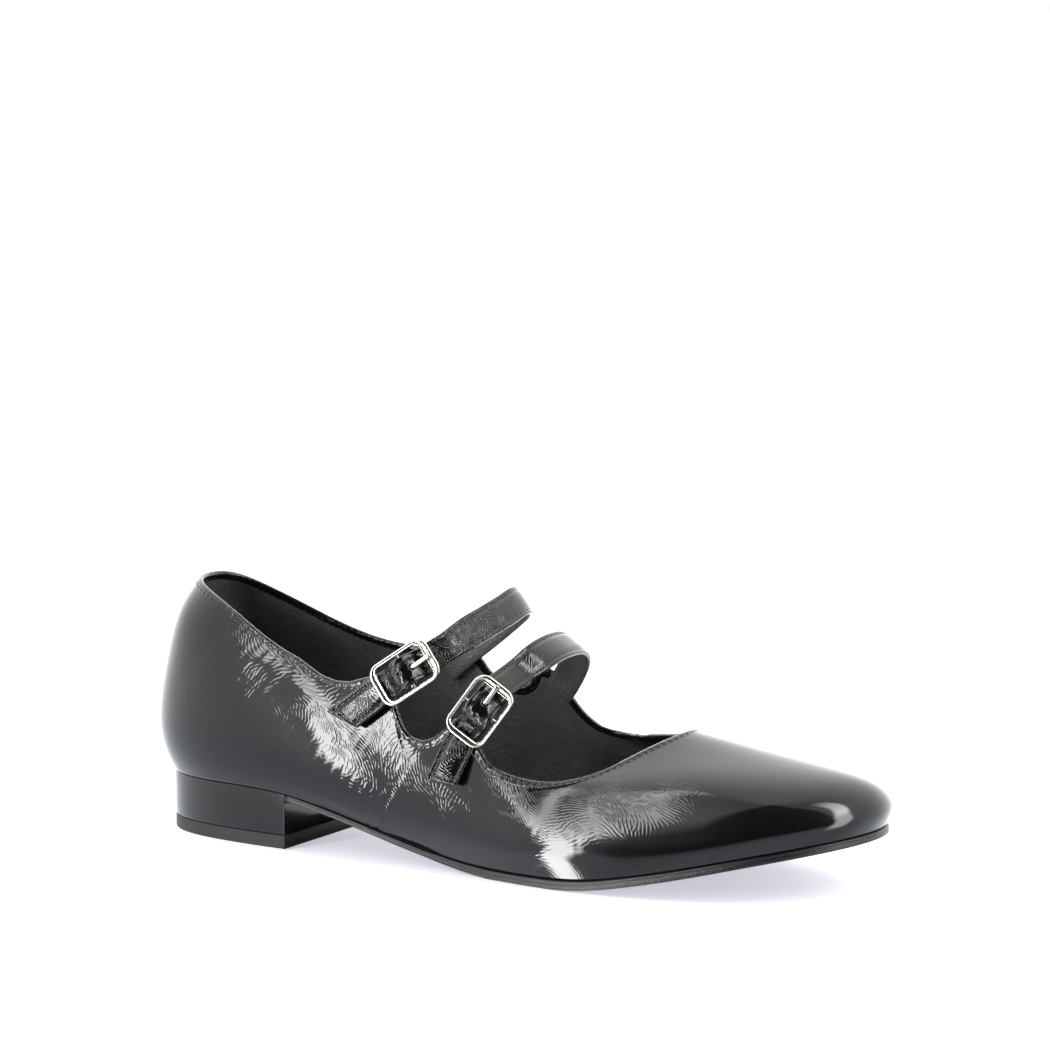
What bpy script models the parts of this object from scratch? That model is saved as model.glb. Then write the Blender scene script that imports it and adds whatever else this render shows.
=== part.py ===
"""Double-strap Mary Jane, right foot, EU 38. Lengths in the tables are millimetres.

x runs from the back of the heel to the toe, -y is the outer side of the foot, +z is up.
"""

import math

import bmesh
import bpy
import numpy as np

for old in list(bpy.data.objects):
    bpy.data.objects.remove(old, do_unlink=True)

MM = 0.001
GAP = 0.3  # between pieces that meet
WALL = 1.7  # upper leather with its lining
STRAP_WIDTH = 10.6
STRAP_THICK = 1.6
BAR_RADIUS = 0.65
LIFT_THICK = 4.7
HEEL_HEIGHT = 19.6  # floor to the upper's lower edge at the heel
CENTRE_X, CENTRE_Y = 126.14, -0.086  # middle of the bounding box in the tables' frame

# x, z of the upper's lower edge, and x, thickness of the outsole
BOTTOM = [
    (-10, 19.6), (5, 19.6), (30, 19.6), (56, 18.6), (76, 14.4), (96, 9.2), (116, 5.2), (136, 3.3),
    (152, 3.2), (168, 3.8), (186, 6.6), (206, 10.9), (228, 16.0), (250, 20.0), (262, 21.8),
]
SOLE_THICK = [(50, 2.2), (110, 2.3), (136, 3.3), (160, 3.35), (200, 3.2), (256, 2.8)]

# station, x and y of the lower edge on the outer side, x and y on the inner side
PLAN = [
    ("heel back", 1.2, -1.5, 1.2, -1.5),
    ("heel corner", 10, -20.5, 10, 17.0),
    ("heel side", 34, -28.5, 34, 23.0),
    ("breast", 62, -30.5, 62, 21.5),
    ("waist", 90, -30.5, 90, 18.5),
    ("shank", 118, -33.0, 119, 21.5),
    ("joint", 146, -37.5, 149, 32.0),
    ("ball", 175, -39.5, 180, 39.5),
    ("toe side", 206, -36.0, 212, 37.5),
    ("toe corner", 236, -25.0, 242, 27.5),
    ("toe tip", 254, 2.0, 254, 2.0),
]
# highest line of each station: x, y, z on the outer side, then on the inner side
CREST = [
    (10, -1, 84.5, 10, -1, 84.5),
    (16, -14, 83.3, 15, 12, 82.5),
    (34, -22.5, 76.2, 33, 20, 73.5),
    (60, -26.8, 64.0, 60, 23.5, 63.5),
    (86, -29, 60.5, 86, 24.5, 61),
    (105, -30.5, 56, 108, 25.5, 59.5),
    (124, -31, 49.5, 130, 27, 55.5),
    (144.6, -34.0, 36.2, 148, 27.8, 41),
    (166.2, -28.6, 35.3, 164, 25.5, 39.2),
    (180, -15.0, 42.3, 179.5, 16.5, 42.8),
    (188.3, 1.5, 46.8, 188.3, 1.5, 46.8),
]
# side profile of stations 0 to 7 as (inward, up) from the lower edge: low, flank, shoulder, crown
OUTER_SIDE = [
    ((-3.4, 7), (-5.2, 19), (-2.4, 38), (2.8, 54)),
    ((-3.0, 7), (-4.5, 19), (-2.0, 37), (2.0, 53)),
    ((-2.4, 7), (-3.4, 18), (-1.0, 34), (2.6, 47)),
    ((-2.2, 7), (-3.2, 16), (-1.5, 28), (1.0, 37)),
    ((-2.4, 7), (-3.6, 15), (-2.6, 27), (-0.6, 38)),
    ((-2.4, 6.5), (-3.6, 14), (-2.2, 25), (0.4, 36)),
    ((-2.2, 6), (-3.2, 12), (-1.2, 22), (1.6, 32)),
    ((-2.0, 6), (-2.8, 11.5), (-0.8, 18.5), (2.0, 25)),
]
INNER_SIDE = OUTER_SIDE[:3] + [
    ((-2.4, 7), (-3.8, 16), (-4.0, 28), (-3.2, 37)),
    ((-3.2, 7), (-5.6, 15), (-6.8, 27), (-6.8, 38)),
    ((-2.8, 7), (-4.6, 16), (-5.2, 29), (-5.0, 41)),
    ((-2.4, 7), (-3.6, 15), (-1.4, 27), (1.6, 38)),
    ((-2.2, 6), (-2.6, 13), (1.2, 21), (5.0, 28.5)),
]
# low, flank, shoulder and crown points of the toe
TOE = {
    ("outer", 8): ((206.5, -37.6, 16.5), (206, -36.8, 22.0), (202, -33.4, 28.8), (188, -30.0, 34.0)),
    ("outer", 9): ((237.2, -26.2, 22.5), (236.2, -25.6, 27.0), (229.5, -21.5, 33.2), (211, -17.5, 39.0)),
    ("outer", 10): ((255.8, 2.0, 25.0), (255.4, 2.0, 29.8), (247.5, 2.0, 36.4), (225, 2.0, 40.8)),
    ("inner", 9): ((243.3, 28.6, 23.3), (242.4, 28.0, 27.6), (234.5, 23.0, 32.6), (211, 16.5, 38.6)),
    ("inner", 8): ((212.5, 39.2, 17.5), (212, 38.4, 22.8), (206, 33.5, 29.5), (189, 27.0, 36.0)),
}
# round the foot (0 heel back, 10 toe tip, 10 to 20 the inner side) and the height of the cut edge:
# 5 is the crest, and the dips are the openings beside the two ears on each side
TOPLINE = [
    (0.0, 5.0), (3.0, 5.0), (3.2, 4.86), (3.35, 4.73), (3.56, 4.67), (3.77, 4.73), (3.96, 4.9),
    (4.1, 5.0), (4.45, 5.0), (4.55, 4.92), (4.6, 4.7), (4.63, 4.4), (4.7, 4.15), (4.82, 4.03),
    (5.0, 4.07), (5.23, 4.27), (5.54, 4.6), (5.72, 4.8), (5.85, 4.94), (5.95, 5.0), (6.12, 5.0),
    (6.2, 4.92), (6.26, 4.7), (6.32, 4.52), (6.48, 4.46), (6.77, 4.6), (7.04, 4.73), (7.4, 4.84),
    (7.85, 4.98), (8.1, 5.0), (12.1, 5.0), (12.35, 4.93), (12.7, 4.76), (13.22, 4.27), (13.51, 4.05),
    (13.7, 3.98), (13.83, 4.06), (13.94, 4.22), (14.0, 4.45), (14.04, 4.75), (14.1, 4.93), (14.18, 5.0),
    (14.36, 5.0), (14.43, 4.93), (14.5, 4.68), (14.62, 4.36), (14.78, 4.14), (14.95, 4.1),
    (15.1, 4.22), (15.22, 4.46), (15.29, 4.72), (15.33, 4.92), (15.42, 5.0), (16.1, 5.0),
    (16.4, 4.96), (16.8, 4.98), (17.2, 5.0), (20.0, 5.0),
]
ROWS = 10  # from the lower edge to the topline

# middle of each strap over the instep, from the buckle to the end tucked inside the inner ear
REAR_ARCH = [
    (115.6, -22.8, 71.8), (118.0, -14.5, 74.8), (120.8, -6.0, 77.6), (122.8, 2.0, 80.2),
    (123.6, 9.5, 82.2), (122.0, 15.5, 81.6), (117.6, 20.3, 78.4), (111.0, 23.3, 73.6),
    (103.2, 23.2, 67.2), (95.5, 21.6, 60.8), (88.6, 21.6, 54.8),
]
FRONT_ARCH = [
    (139.4, -20.5, 64.4), (142.2, -13.0, 68.6), (143.6, -5.5, 71.4), (144.0, 1.5, 72.2),
    (143.6, 8.0, 71.4), (142.2, 14.0, 68.6), (139.8, 18.8, 64.6), (136.6, 22.2, 59.8),
    (133.0, 24.0, 54.6), (129.6, 24.6, 49.8),
]
# buckle: middle, direction along the strap, direction across it, middle of the strap's loose end
REAR_BUCKLE = dict(
    middle=(103.6, -33.2, 64.1), along=(0.783, 0.185, 0.593), across=(0.679, -0.074, -0.73),
    end=(82.2, -35.6, 46.8), skew=3.0, ear=-4.8, leg=(-15.0, -11.5, -8.5),
)
FRONT_BUCKLE = dict(
    middle=(131.4, -35.4, 53.4), along=(0.50, 0.26, 0.825), across=(0.836, -0.004, -0.548),
    end=(120.9, -39.4, 30.8), skew=1.2, ear=-4.45, leg=(-11.0, -9.8, -8.5),
)
BUCKLE_LENGTH, BUCKLE_WIDTH, BUCKLE_CORNER = 20.0, 15.2, 4.6
RAIL_WIDTH, RAIL_THICK = 2.0, 1.5


def natural_cubic(table):
    """A smooth curve through (x, value) points, with no bend at its ends."""
    xs, ys = (np.array(c, float) for c in zip(*table))
    n, h = len(xs), np.diff(xs)
    a, r = np.eye(n), np.zeros(n)
    for i in range(1, n - 1):
        a[i, i - 1], a[i, i], a[i, i + 1] = h[i - 1], 2 * (h[i - 1] + h[i]), h[i]
        r[i] = 6 * ((ys[i + 1] - ys[i]) / h[i] - (ys[i] - ys[i - 1]) / h[i - 1])
    m = np.linalg.solve(a, r)

    def value(x):
        x = np.asarray(x, float)
        i = np.clip(np.searchsorted(xs, x) - 1, 0, n - 2)
        p, q, d = xs[i + 1] - x, x - xs[i], h[i]
        bend = (m[i] * p**3 + m[i + 1] * q**3) / (6 * d)
        return bend + (ys[i] / d - m[i] * d / 6) * p + (ys[i + 1] / d - m[i + 1] * d / 6) * q

    return value


bottom = natural_cubic(BOTTOM)


def sole_thick(x):
    return np.interp(x, *zip(*SOLE_THICK))


def station(i, side):
    """Six points up the last at one station of one side."""
    x, y = PLAN[i][1:3] if side == "outer" else PLAN[i][3:5]
    top = np.array(CREST[i][:3] if side == "outer" else CREST[i][3:], float)
    base = np.array((x, y, float(bottom(x))))
    if i >= 8:
        return [base, *np.array(TOE[side, i], float), top]
    sign = 1.0 if side == "outer" else -1.0
    inward = {0: (1.0, 0.0), 1: (0.75, 0.66 * sign)}.get(i, (0.0, sign))
    points = [base]
    for across, up in (OUTER_SIDE if side == "outer" else INNER_SIDE)[i]:
        lean = (top[0] - x) * (up / (top[2] - base[2])) ** 1.3 if i > 1 else 0.0
        points.append(base + (inward[0] * across + lean, inward[1] * across, up))
    return [*points, top]


def control_net():
    """Control points of the cubic surface that passes through every station point."""
    order = [(i, "outer") for i in range(11)] + [(i, "inner") for i in range(9, 0, -1)]
    points = np.array([station(i, side) for i, side in order])
    n, m = points.shape[:2]
    ring = np.eye(n) * 4 / 6 + (np.roll(np.eye(n), 1, 0) + np.roll(np.eye(n), -1, 0)) / 6
    rise = np.eye(m)
    for j in range(1, m - 1):
        rise[j, j - 1 : j + 2] = 1 / 6, 4 / 6, 1 / 6
    net = np.einsum("ij,jkc->ikc", np.linalg.inv(ring), points)
    net = np.einsum("jk,nkc->njc", np.linalg.inv(rise), net)
    low, high = 2 * net[:, :1] - net[:, 1:2], 2 * net[:, -1:] - net[:, -2:-1]
    return np.concatenate([low, net, high], 1)


NET = control_net()


def basis(f):
    return np.stack([(1 - f) ** 3, 3 * f**3 - 6 * f**2 + 4, -3 * f**3 + 3 * f**2 + 3 * f + 1, f**3]) / 6


def last_point(u, v):
    """Points of the last's surface at u round the foot and v up it."""
    u, v = np.broadcast_arrays(np.asarray(u, float) % 20, np.clip(v, 0, 5))
    iu, iv = np.floor(u).astype(int), np.minimum(np.floor(v).astype(int), 4)
    bu, bv = basis(u - iu), basis(v - iv)
    out = np.zeros(u.shape + (3,))
    for a in range(4):
        for b in range(4):
            out += (bu[a] * bv[b])[..., None] * NET[(iu - 1 + a) % 20, iv + b]
    return out


def last_normal(u, v):
    v = np.clip(v, 0.01, 4.99)
    along = last_point(u + 0.01, v) - last_point(u - 0.01, v)
    up = last_point(u, v + 0.01) - last_point(u, v - 0.01)
    n = np.cross(along, up)
    return n / np.linalg.norm(n, axis=-1, keepdims=True)


def unit(v):
    v = np.asarray(v, float)
    return v / np.linalg.norm(v, axis=-1, keepdims=True)


def add_piece(name, points, faces, color, metallic=0.0, roughness=0.4):
    """One object from points in the tables' frame, its faces turned outwards."""
    moved = [((p[0] - CENTRE_X) * MM, (p[1] - CENTRE_Y) * MM, p[2] * MM) for p in points]
    mesh = bpy.data.meshes.new(name)
    mesh.from_pydata(moved, [], [tuple(int(i) for i in f) for f in faces])
    bm = bmesh.new()
    bm.from_mesh(mesh)
    bmesh.ops.recalc_face_normals(bm, faces=bm.faces)
    bm.to_mesh(mesh)
    bm.free()
    obj = bpy.data.objects.new(name, mesh)
    bpy.context.scene.collection.objects.link(obj)
    material = bpy.data.materials.new(name)
    material.use_nodes = True
    shader = material.node_tree.nodes["Principled BSDF"]
    shader.inputs["Base Color"].default_value = (*color, 1.0)
    shader.inputs["Metallic"].default_value = metallic
    shader.inputs["Roughness"].default_value = roughness
    mesh.materials.append(material)
    return obj


def tube(rings, closed=False):
    """Faces of a tube through rings of equal length, with flat ends unless closed."""
    n, k = len(rings), len(rings[0])
    faces = []
    for i in range(n if closed else n - 1):
        a, b = i * k, (i + 1) % n * k
        faces += [(a + j, a + (j + 1) % k, b + (j + 1) % k, b + j) for j in range(k)]
    if not closed:
        faces += [tuple(range(k)), tuple(range((n - 1) * k, n * k))]
    return np.concatenate(rings), faces


def smooth_path(points, step=2.0):
    """Points about one step apart on a Catmull-Rom curve through the given ones."""
    p = np.array(points, float)
    p = np.concatenate([[2 * p[0] - p[1]], p, [2 * p[-1] - p[-2]]])
    out = []
    for a, b, c, d in zip(p, p[1:], p[2:], p[3:]):
        for t in np.linspace(0, 1, max(2, round(np.linalg.norm(c - b) / step) + 1))[:-1]:
            bend = (2 * a - 5 * b + 4 * c - d) * t**2 + (3 * b - a - 3 * c + d) * t**3
            out.append(b + 0.5 * ((c - a) * t + bend))
    return np.array(out + [p[-2]])


OUTWARD = 1 if last_normal(np.array(4.0), np.array(2.0))[1] < 0 else -1

# Upper: outer and inner sheets joined by the topline and by the lower edge

tight = [*np.arange(8.625, 11.5, 0.25), *np.arange(0.125, 1.5, 0.25), *np.arange(18.625, 20, 0.25)]
columns = set(np.round(np.arange(0, 20, 0.25), 3)) | set(tight) | {u for u, _ in TOPLINE[:-1]}
columns = sorted(columns)
columns = np.array([u for u, w in zip(columns, columns[1:] + [20.0]) if w - u > 0.02])
heights = np.interp(columns, *zip(*TOPLINE))
share = np.linspace(0, 1, ROWS + 1)
grid_u = columns[:, None] + 0 * share[None]
grid_v = heights[:, None] * share[None]
outer = last_point(grid_u, grid_v)
normal = last_normal(grid_u, grid_v)
normal *= OUTWARD
flat = normal[:, 0] * (1, 1, 0)
normal[:, 0] = flat / np.linalg.norm(flat, axis=-1, keepdims=True)
inner = outer - WALL * normal
for sheet in (outer, inner):
    sheet[:, 0, 2] = bottom(sheet[:, 0, 0])
n, m = outer.shape[:2]
points = np.concatenate([outer.reshape(-1, 3), inner.reshape(-1, 3)])
faces = []
for i in range(n):
    k = (i + 1) % n
    for j in range(m - 1):
        a, b, c, d = i * m + j, k * m + j, k * m + j + 1, i * m + j + 1
        faces += [(a, b, c, d), (n * m + d, n * m + c, n * m + b, n * m + a)]
    for j in (0, m - 1):
        a, b = i * m + j, k * m + j
        faces.append((a, n * m + a, n * m + b, b))
add_piece("upper", points, faces, (0.01, 0.01, 0.012), roughness=0.12)

# Insole, outsole and heel: plates between two edges that run along the foot


def edge_across(us, out, toe_out=None):
    """Lower edge moved out by a distance in plan, as (x, y) ordered by x, on one side of the foot."""
    us = np.linspace(*us, 600)
    edge, side = last_point(us, 0.0)[:, :2], last_normal(us, 0.0)[:, :2] * OUTWARD
    side /= np.linalg.norm(side, axis=-1, keepdims=True)
    grow = np.interp(edge[:, 0], (60, 150), (out, out if toe_out is None else toe_out))
    return edge + side * grow[:, None]


def both_sides(out, toe_out=None):
    """Outer and inner edges between the rearmost and the foremost point."""
    ring = np.concatenate([edge_across((0, 10), out, toe_out), edge_across((10, 20), out, toe_out)[1:-1]])
    back, front = int(ring[:, 0].argmin()), int(ring[:, 0].argmax())
    ring = np.roll(ring, -back, axis=0)
    front = (front - back) % len(ring)
    return ring[: front + 1], np.concatenate([ring[front:], ring[:1]])[::-1]


def breast_x(y):
    """The heel's front face, square to the heel's own axis."""
    return 57.0 + (y + 30.0) * 0.07


def rows_at(edge, xs):
    """Points on one edge at these x."""
    order = np.argsort(edge[:, 0], kind="stable")
    return np.stack([xs, np.interp(xs, edge[order, 0], edge[order, 1])], 1)


def plate(name, rows, underside, topside, color, roughness=0.4):
    """A closed plate between an outer and an inner row of equal length, which may meet at their ends."""
    k = len(rows[0])
    pts, quads = [], []
    for z in (underside, topside):
        for row in rows:
            pts += [(p[0], p[1], float(z(p[0]))) for p in row]
    for i in range(k - 1):
        quads += [(j + i, j + i + 1, j + k + i + 1, j + k + i) for j in (0, 2 * k)]
        quads += [(j + i, j + i + 1, j + 2 * k + i + 1, j + 2 * k + i) for j in (0, k)]
    quads += [(j, k + j, 3 * k + j, 2 * k + j) for j in (0, k - 1)]
    obj = add_piece(name, pts, quads, color, roughness=roughness)
    bm = bmesh.new()
    bm.from_mesh(obj.data)
    bmesh.ops.remove_doubles(bm, verts=bm.verts, dist=1e-6)
    bmesh.ops.recalc_face_normals(bm, faces=bm.faces)
    bm.to_mesh(obj.data)
    bm.free()


def outsole_under(x):
    return np.maximum(0.0, bottom(x) - sole_thick(x))


spread = np.linspace(0, 1, 57)
edges = both_sides(-WALL - GAP - 0.1)
xs = edges[0][0, 0] + (edges[0][-1, 0] - edges[0][0, 0]) * (0.5 - 0.5 * np.cos(np.pi * spread))
plate(
    "insole", [rows_at(e, xs) for e in edges], bottom, lambda x: bottom(x) + 2.4,
    (0.02, 0.02, 0.02), 0.6,
)
edges = both_sides(0.1, 0.7)
rows = []
for e in edges:
    back = breast_x(rows_at(e, np.array([59.0]))[0, 1]) + GAP
    rows.append(rows_at(e, back + (e[-1, 0] - back) * np.sin(spread * np.pi / 2)))
plate("outsole", rows, outsole_under, lambda x: bottom(x) - GAP, (0.02, 0.02, 0.022), 0.5)
for name, low, high, inset, color, rough in (
    ("heel_block", LIFT_THICK + GAP, HEEL_HEIGHT - GAP, 0.1, (0.01, 0.01, 0.014), 0.25),
    ("top_lift", 0.0, LIFT_THICK, 0.3, (0.015, 0.015, 0.015), 0.7),
):
    rows = []
    for e in both_sides(-inset):
        front = breast_x(rows_at(e, np.array([59.0]))[0, 1])
        rows.append(rows_at(e, e[0, 0] + (front - e[0, 0]) * (1 - np.cos(spread[::2] * np.pi / 2))))
    top = (lambda x: bottom(x) - GAP) if name == "heel_block" else (lambda x: high)
    plate(name, rows, lambda x: low, top, color, rough)

# Straps with their buckles


def local_frame(buckle):
    """Middle, along, across and outward directions of a buckle."""
    along = unit(buckle["along"])
    across = np.array(buckle["across"])
    across = unit(across - along * (across @ along))
    return np.array(buckle["middle"]), along, across, np.cross(across, along)


def strap_rise(s):
    """Height of the strap's middle over the frame's plane: under both rails, over the bar."""
    return -1.95 + 4.65 * (0.5 + 0.5 * math.cos(math.pi * min(abs(s), 7.2) / 7.2)) ** 0.8


def band(path, across, half_widths, thick, slot, skew=0.0):
    """Points and faces of a leather band; slot is the run of rings with a hole in the middle."""
    path = np.array(path)
    tangent = unit(np.gradient(path, axis=0))
    across = unit(across - tangent * (across * tangent).sum(-1, keepdims=True))
    up = np.cross(across, tangent)
    rings = []
    for i, (p, t, w, n, half_width) in enumerate(zip(path, tangent, across, up, half_widths)):
        columns = (-half_width, -1.05, 1.05, half_width)
        low = [p + w * c - n * thick / 2 for c in columns]
        high = [p + w * c + n * thick / 2 for c in columns[::-1]]
        if i < 3 and skew:
            slant = skew * (1, 0.5, 0.2)[i] / half_width
            low = [q + t * slant * c for q, c in zip(low, columns)]
            high = [q + t * slant * c for q, c in zip(high, columns[::-1])]
        rings.append(low + high)
    points, faces = tube(rings)
    first, last = slot
    holes = {
        (i * 8 + j, i * 8 + j + 1, i * 8 + j + 9, i * 8 + j + 8)
        for i in range(first, last) for j in (1, 5)
    }
    faces = [f for f in faces if f not in holes]
    for i in range(first, last):
        for a, b in ((1, 6), (2, 5)):
            faces.append((i * 8 + a, i * 8 + 8 + a, i * 8 + 8 + b, i * 8 + b))
    for i in (first, last):
        faces.append((i * 8 + 1, i * 8 + 2, i * 8 + 5, i * 8 + 6))
    return points, faces


def add_strap(name, buckle, arch, end_across):
    mid, along, across, up = local_frame(buckle)
    steps = [-9.4, -7.3, -6.2, -4.8, -3.2, -1.2, 0.2, 1.4, 3.4, 5.2, 6.2, 7.3, 9.4]
    under = [mid + along * s + up * strap_rise(s) for s in steps]
    end = np.array(buckle["end"])
    tail = [end + (under[0] - end) * t for t in (0, 0.03, 0.12, 0.32, 0.55, 0.78)]
    over = smooth_path([under[-2], under[-1], *arch], 3.2)
    over = [p for p in over if (p - under[-1]) @ along > 0.8 or p[1] > -15]
    path = np.array(tail + under + over)
    turn = np.linspace(0, 1, len(over))[:, None] ** 1.2
    sides = [across] * (len(tail) + len(under)) + list(unit(across * (1 - turn) + np.array(end_across) * turn))
    first = len(tail) + steps.index(1.4)
    skew = buckle["skew"]
    width = np.full(len(path), STRAP_WIDTH / 2)
    width[len(tail) : len(tail) + len(under)] = STRAP_WIDTH / 2 - 0.5
    points, faces = band(path, np.array(sides), width, STRAP_THICK, (first, first + 2), skew)
    add_piece(name, points, faces, (0.01, 0.01, 0.012), roughness=0.15)


def add_buckle(name, buckle):
    """A rounded frame with its bar, one piece of metal."""
    mid, along, across, up = local_frame(buckle)
    a, b, r = (BUCKLE_LENGTH - RAIL_WIDTH) / 2, (BUCKLE_WIDTH - RAIL_WIDTH) / 2, BUCKLE_CORNER - RAIL_WIDTH / 2
    rings = []
    for k in range(4):
        cx, cy = (a - r) * (1, -1, -1, 1)[k], (b - r) * (1, 1, -1, -1)[k]
        for t in np.linspace(0, math.pi / 2, 5) + k * math.pi / 2:
            out = along * math.cos(t) + across * math.sin(t)
            centre = mid + along * (cx + r * math.cos(t)) + across * (cy + r * math.sin(t))
            rings.append([
                centre + out * x * RAIL_WIDTH / 2 + up * y * RAIL_THICK / 2
                for x, y in ((1, -0.4), (1, 0.4), (0.5, 1), (-0.5, 1), (-1, 0.4), (-1, -0.4), (-0.5, -1), (0.5, -1))
            ])
    frame = add_piece(name, *tube(rings, closed=True), (0.75, 0.75, 0.74), 1.0, 0.12)
    bar_mid = mid - up * 0.8
    ring = [
        along * BAR_RADIUS * math.cos(t) + up * BAR_RADIUS * math.sin(t)
        for t in np.linspace(0, 2 * math.pi, 11)[:-1]
    ]
    bar = add_piece("bar", *tube([[bar_mid + across * c + p for p in ring] for c in (-6.7, 6.7)]), (1, 1, 1))
    join = frame.modifiers.new("bar", "BOOLEAN")
    join.operation, join.solver, join.object = "UNION", "EXACT", bar
    bar.hide_render = True
    bar.hide_set(True)


def add_prong(name, buckle):
    """A flat pin hooked round the bar, up through the strap and on to the far rail."""
    mid, along, across, up = local_frame(buckle)
    hook = [(1.4 * math.cos(t), -0.8 + 1.4 * math.sin(t)) for t in np.radians(range(-60, -271, -30))]
    line = [(x, 0.6 + 0.12 * x) for x in (1.2, 3.0, 5.5, 8.0, 9.6, 10.4)]
    path = np.array(hook + line)
    tangent = unit(np.gradient(path, axis=0))
    rings = []
    for (x, z), (tx, tz) in zip(path, tangent):
        small = 0.6 if x == 10.4 else 1.0
        rings.append([
            mid + along * (x - tz * h * small) + up * (z + tx * h * small) + across * w * small
            for w, h in ((-0.75, -0.15), (-0.4, -0.45), (0.4, -0.45), (0.75, -0.15), (0.75, 0.15),
                         (0.4, 0.45), (-0.4, 0.45), (-0.75, 0.15))
        ])
    add_piece(name, *tube(rings), (0.75, 0.75, 0.74), 1.0, 0.12)


def add_chape(name, buckle):
    """A leather loop from the ear round the bar, slotted for the prong."""
    mid, along, across, up = local_frame(buckle)
    flat = [(x, buckle["ear"] + 0.8) for x in buckle["leg"]] + [(-5.2, -3.0), (-2.6, -2.35), (-1.2, -2.2)]
    turn = [(1.4 * math.cos(t), -0.8 + 1.4 * math.sin(t)) for t in np.radians(range(-90, 91, 30))]
    path = flat + turn + [(-1.0, 0.45), (-2.2, -0.1), (-2.8, -0.5)]
    points = [mid + along * x + up * z for x, z in path]
    points, faces = band(points, np.array([across] * len(path)), [4.8] * len(path), 0.8, (4, 14))
    add_piece(name, points, faces, (0.01, 0.01, 0.012), roughness=0.3)


for tag, buckle, arch, end_across in (
    ("rear", REAR_BUCKLE, REAR_ARCH, (0.68, 0.0, -0.73)),
    ("front", FRONT_BUCKLE, FRONT_ARCH, (0.76, 0.05, -0.65)),
):
    add_strap(f"strap_{tag}", buckle, arch, end_across)
    add_buckle(f"buckle_{tag}", buckle)
    add_prong(f"prong_{tag}", buckle)
    add_chape(f"chape_{tag}", buckle)
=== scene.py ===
# Double-strap Mary Jane, right foot, EU 38, black crinkled patent on a low block heel
import math

import bmesh
import bpy
import numpy as np
from mathutils import Euler, Matrix, Vector


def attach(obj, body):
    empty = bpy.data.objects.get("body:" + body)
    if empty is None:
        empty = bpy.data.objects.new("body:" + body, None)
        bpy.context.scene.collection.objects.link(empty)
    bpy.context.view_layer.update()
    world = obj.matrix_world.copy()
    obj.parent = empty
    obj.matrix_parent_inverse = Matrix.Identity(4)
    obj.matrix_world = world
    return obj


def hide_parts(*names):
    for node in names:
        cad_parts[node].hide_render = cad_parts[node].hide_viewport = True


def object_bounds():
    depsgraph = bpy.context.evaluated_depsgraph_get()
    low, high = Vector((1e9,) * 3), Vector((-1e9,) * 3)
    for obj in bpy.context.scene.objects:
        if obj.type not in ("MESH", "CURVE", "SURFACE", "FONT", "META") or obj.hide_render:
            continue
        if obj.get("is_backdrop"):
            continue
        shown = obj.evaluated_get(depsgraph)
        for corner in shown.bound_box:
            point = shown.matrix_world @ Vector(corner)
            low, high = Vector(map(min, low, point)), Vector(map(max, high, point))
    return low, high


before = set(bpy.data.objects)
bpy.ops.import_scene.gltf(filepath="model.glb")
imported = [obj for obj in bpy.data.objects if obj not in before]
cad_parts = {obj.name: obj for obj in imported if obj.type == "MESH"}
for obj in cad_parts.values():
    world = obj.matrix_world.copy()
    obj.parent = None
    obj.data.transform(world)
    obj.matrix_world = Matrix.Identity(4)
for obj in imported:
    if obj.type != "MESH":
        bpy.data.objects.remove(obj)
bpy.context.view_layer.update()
print("frame loaded:", len(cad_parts), "nodes")

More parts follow.
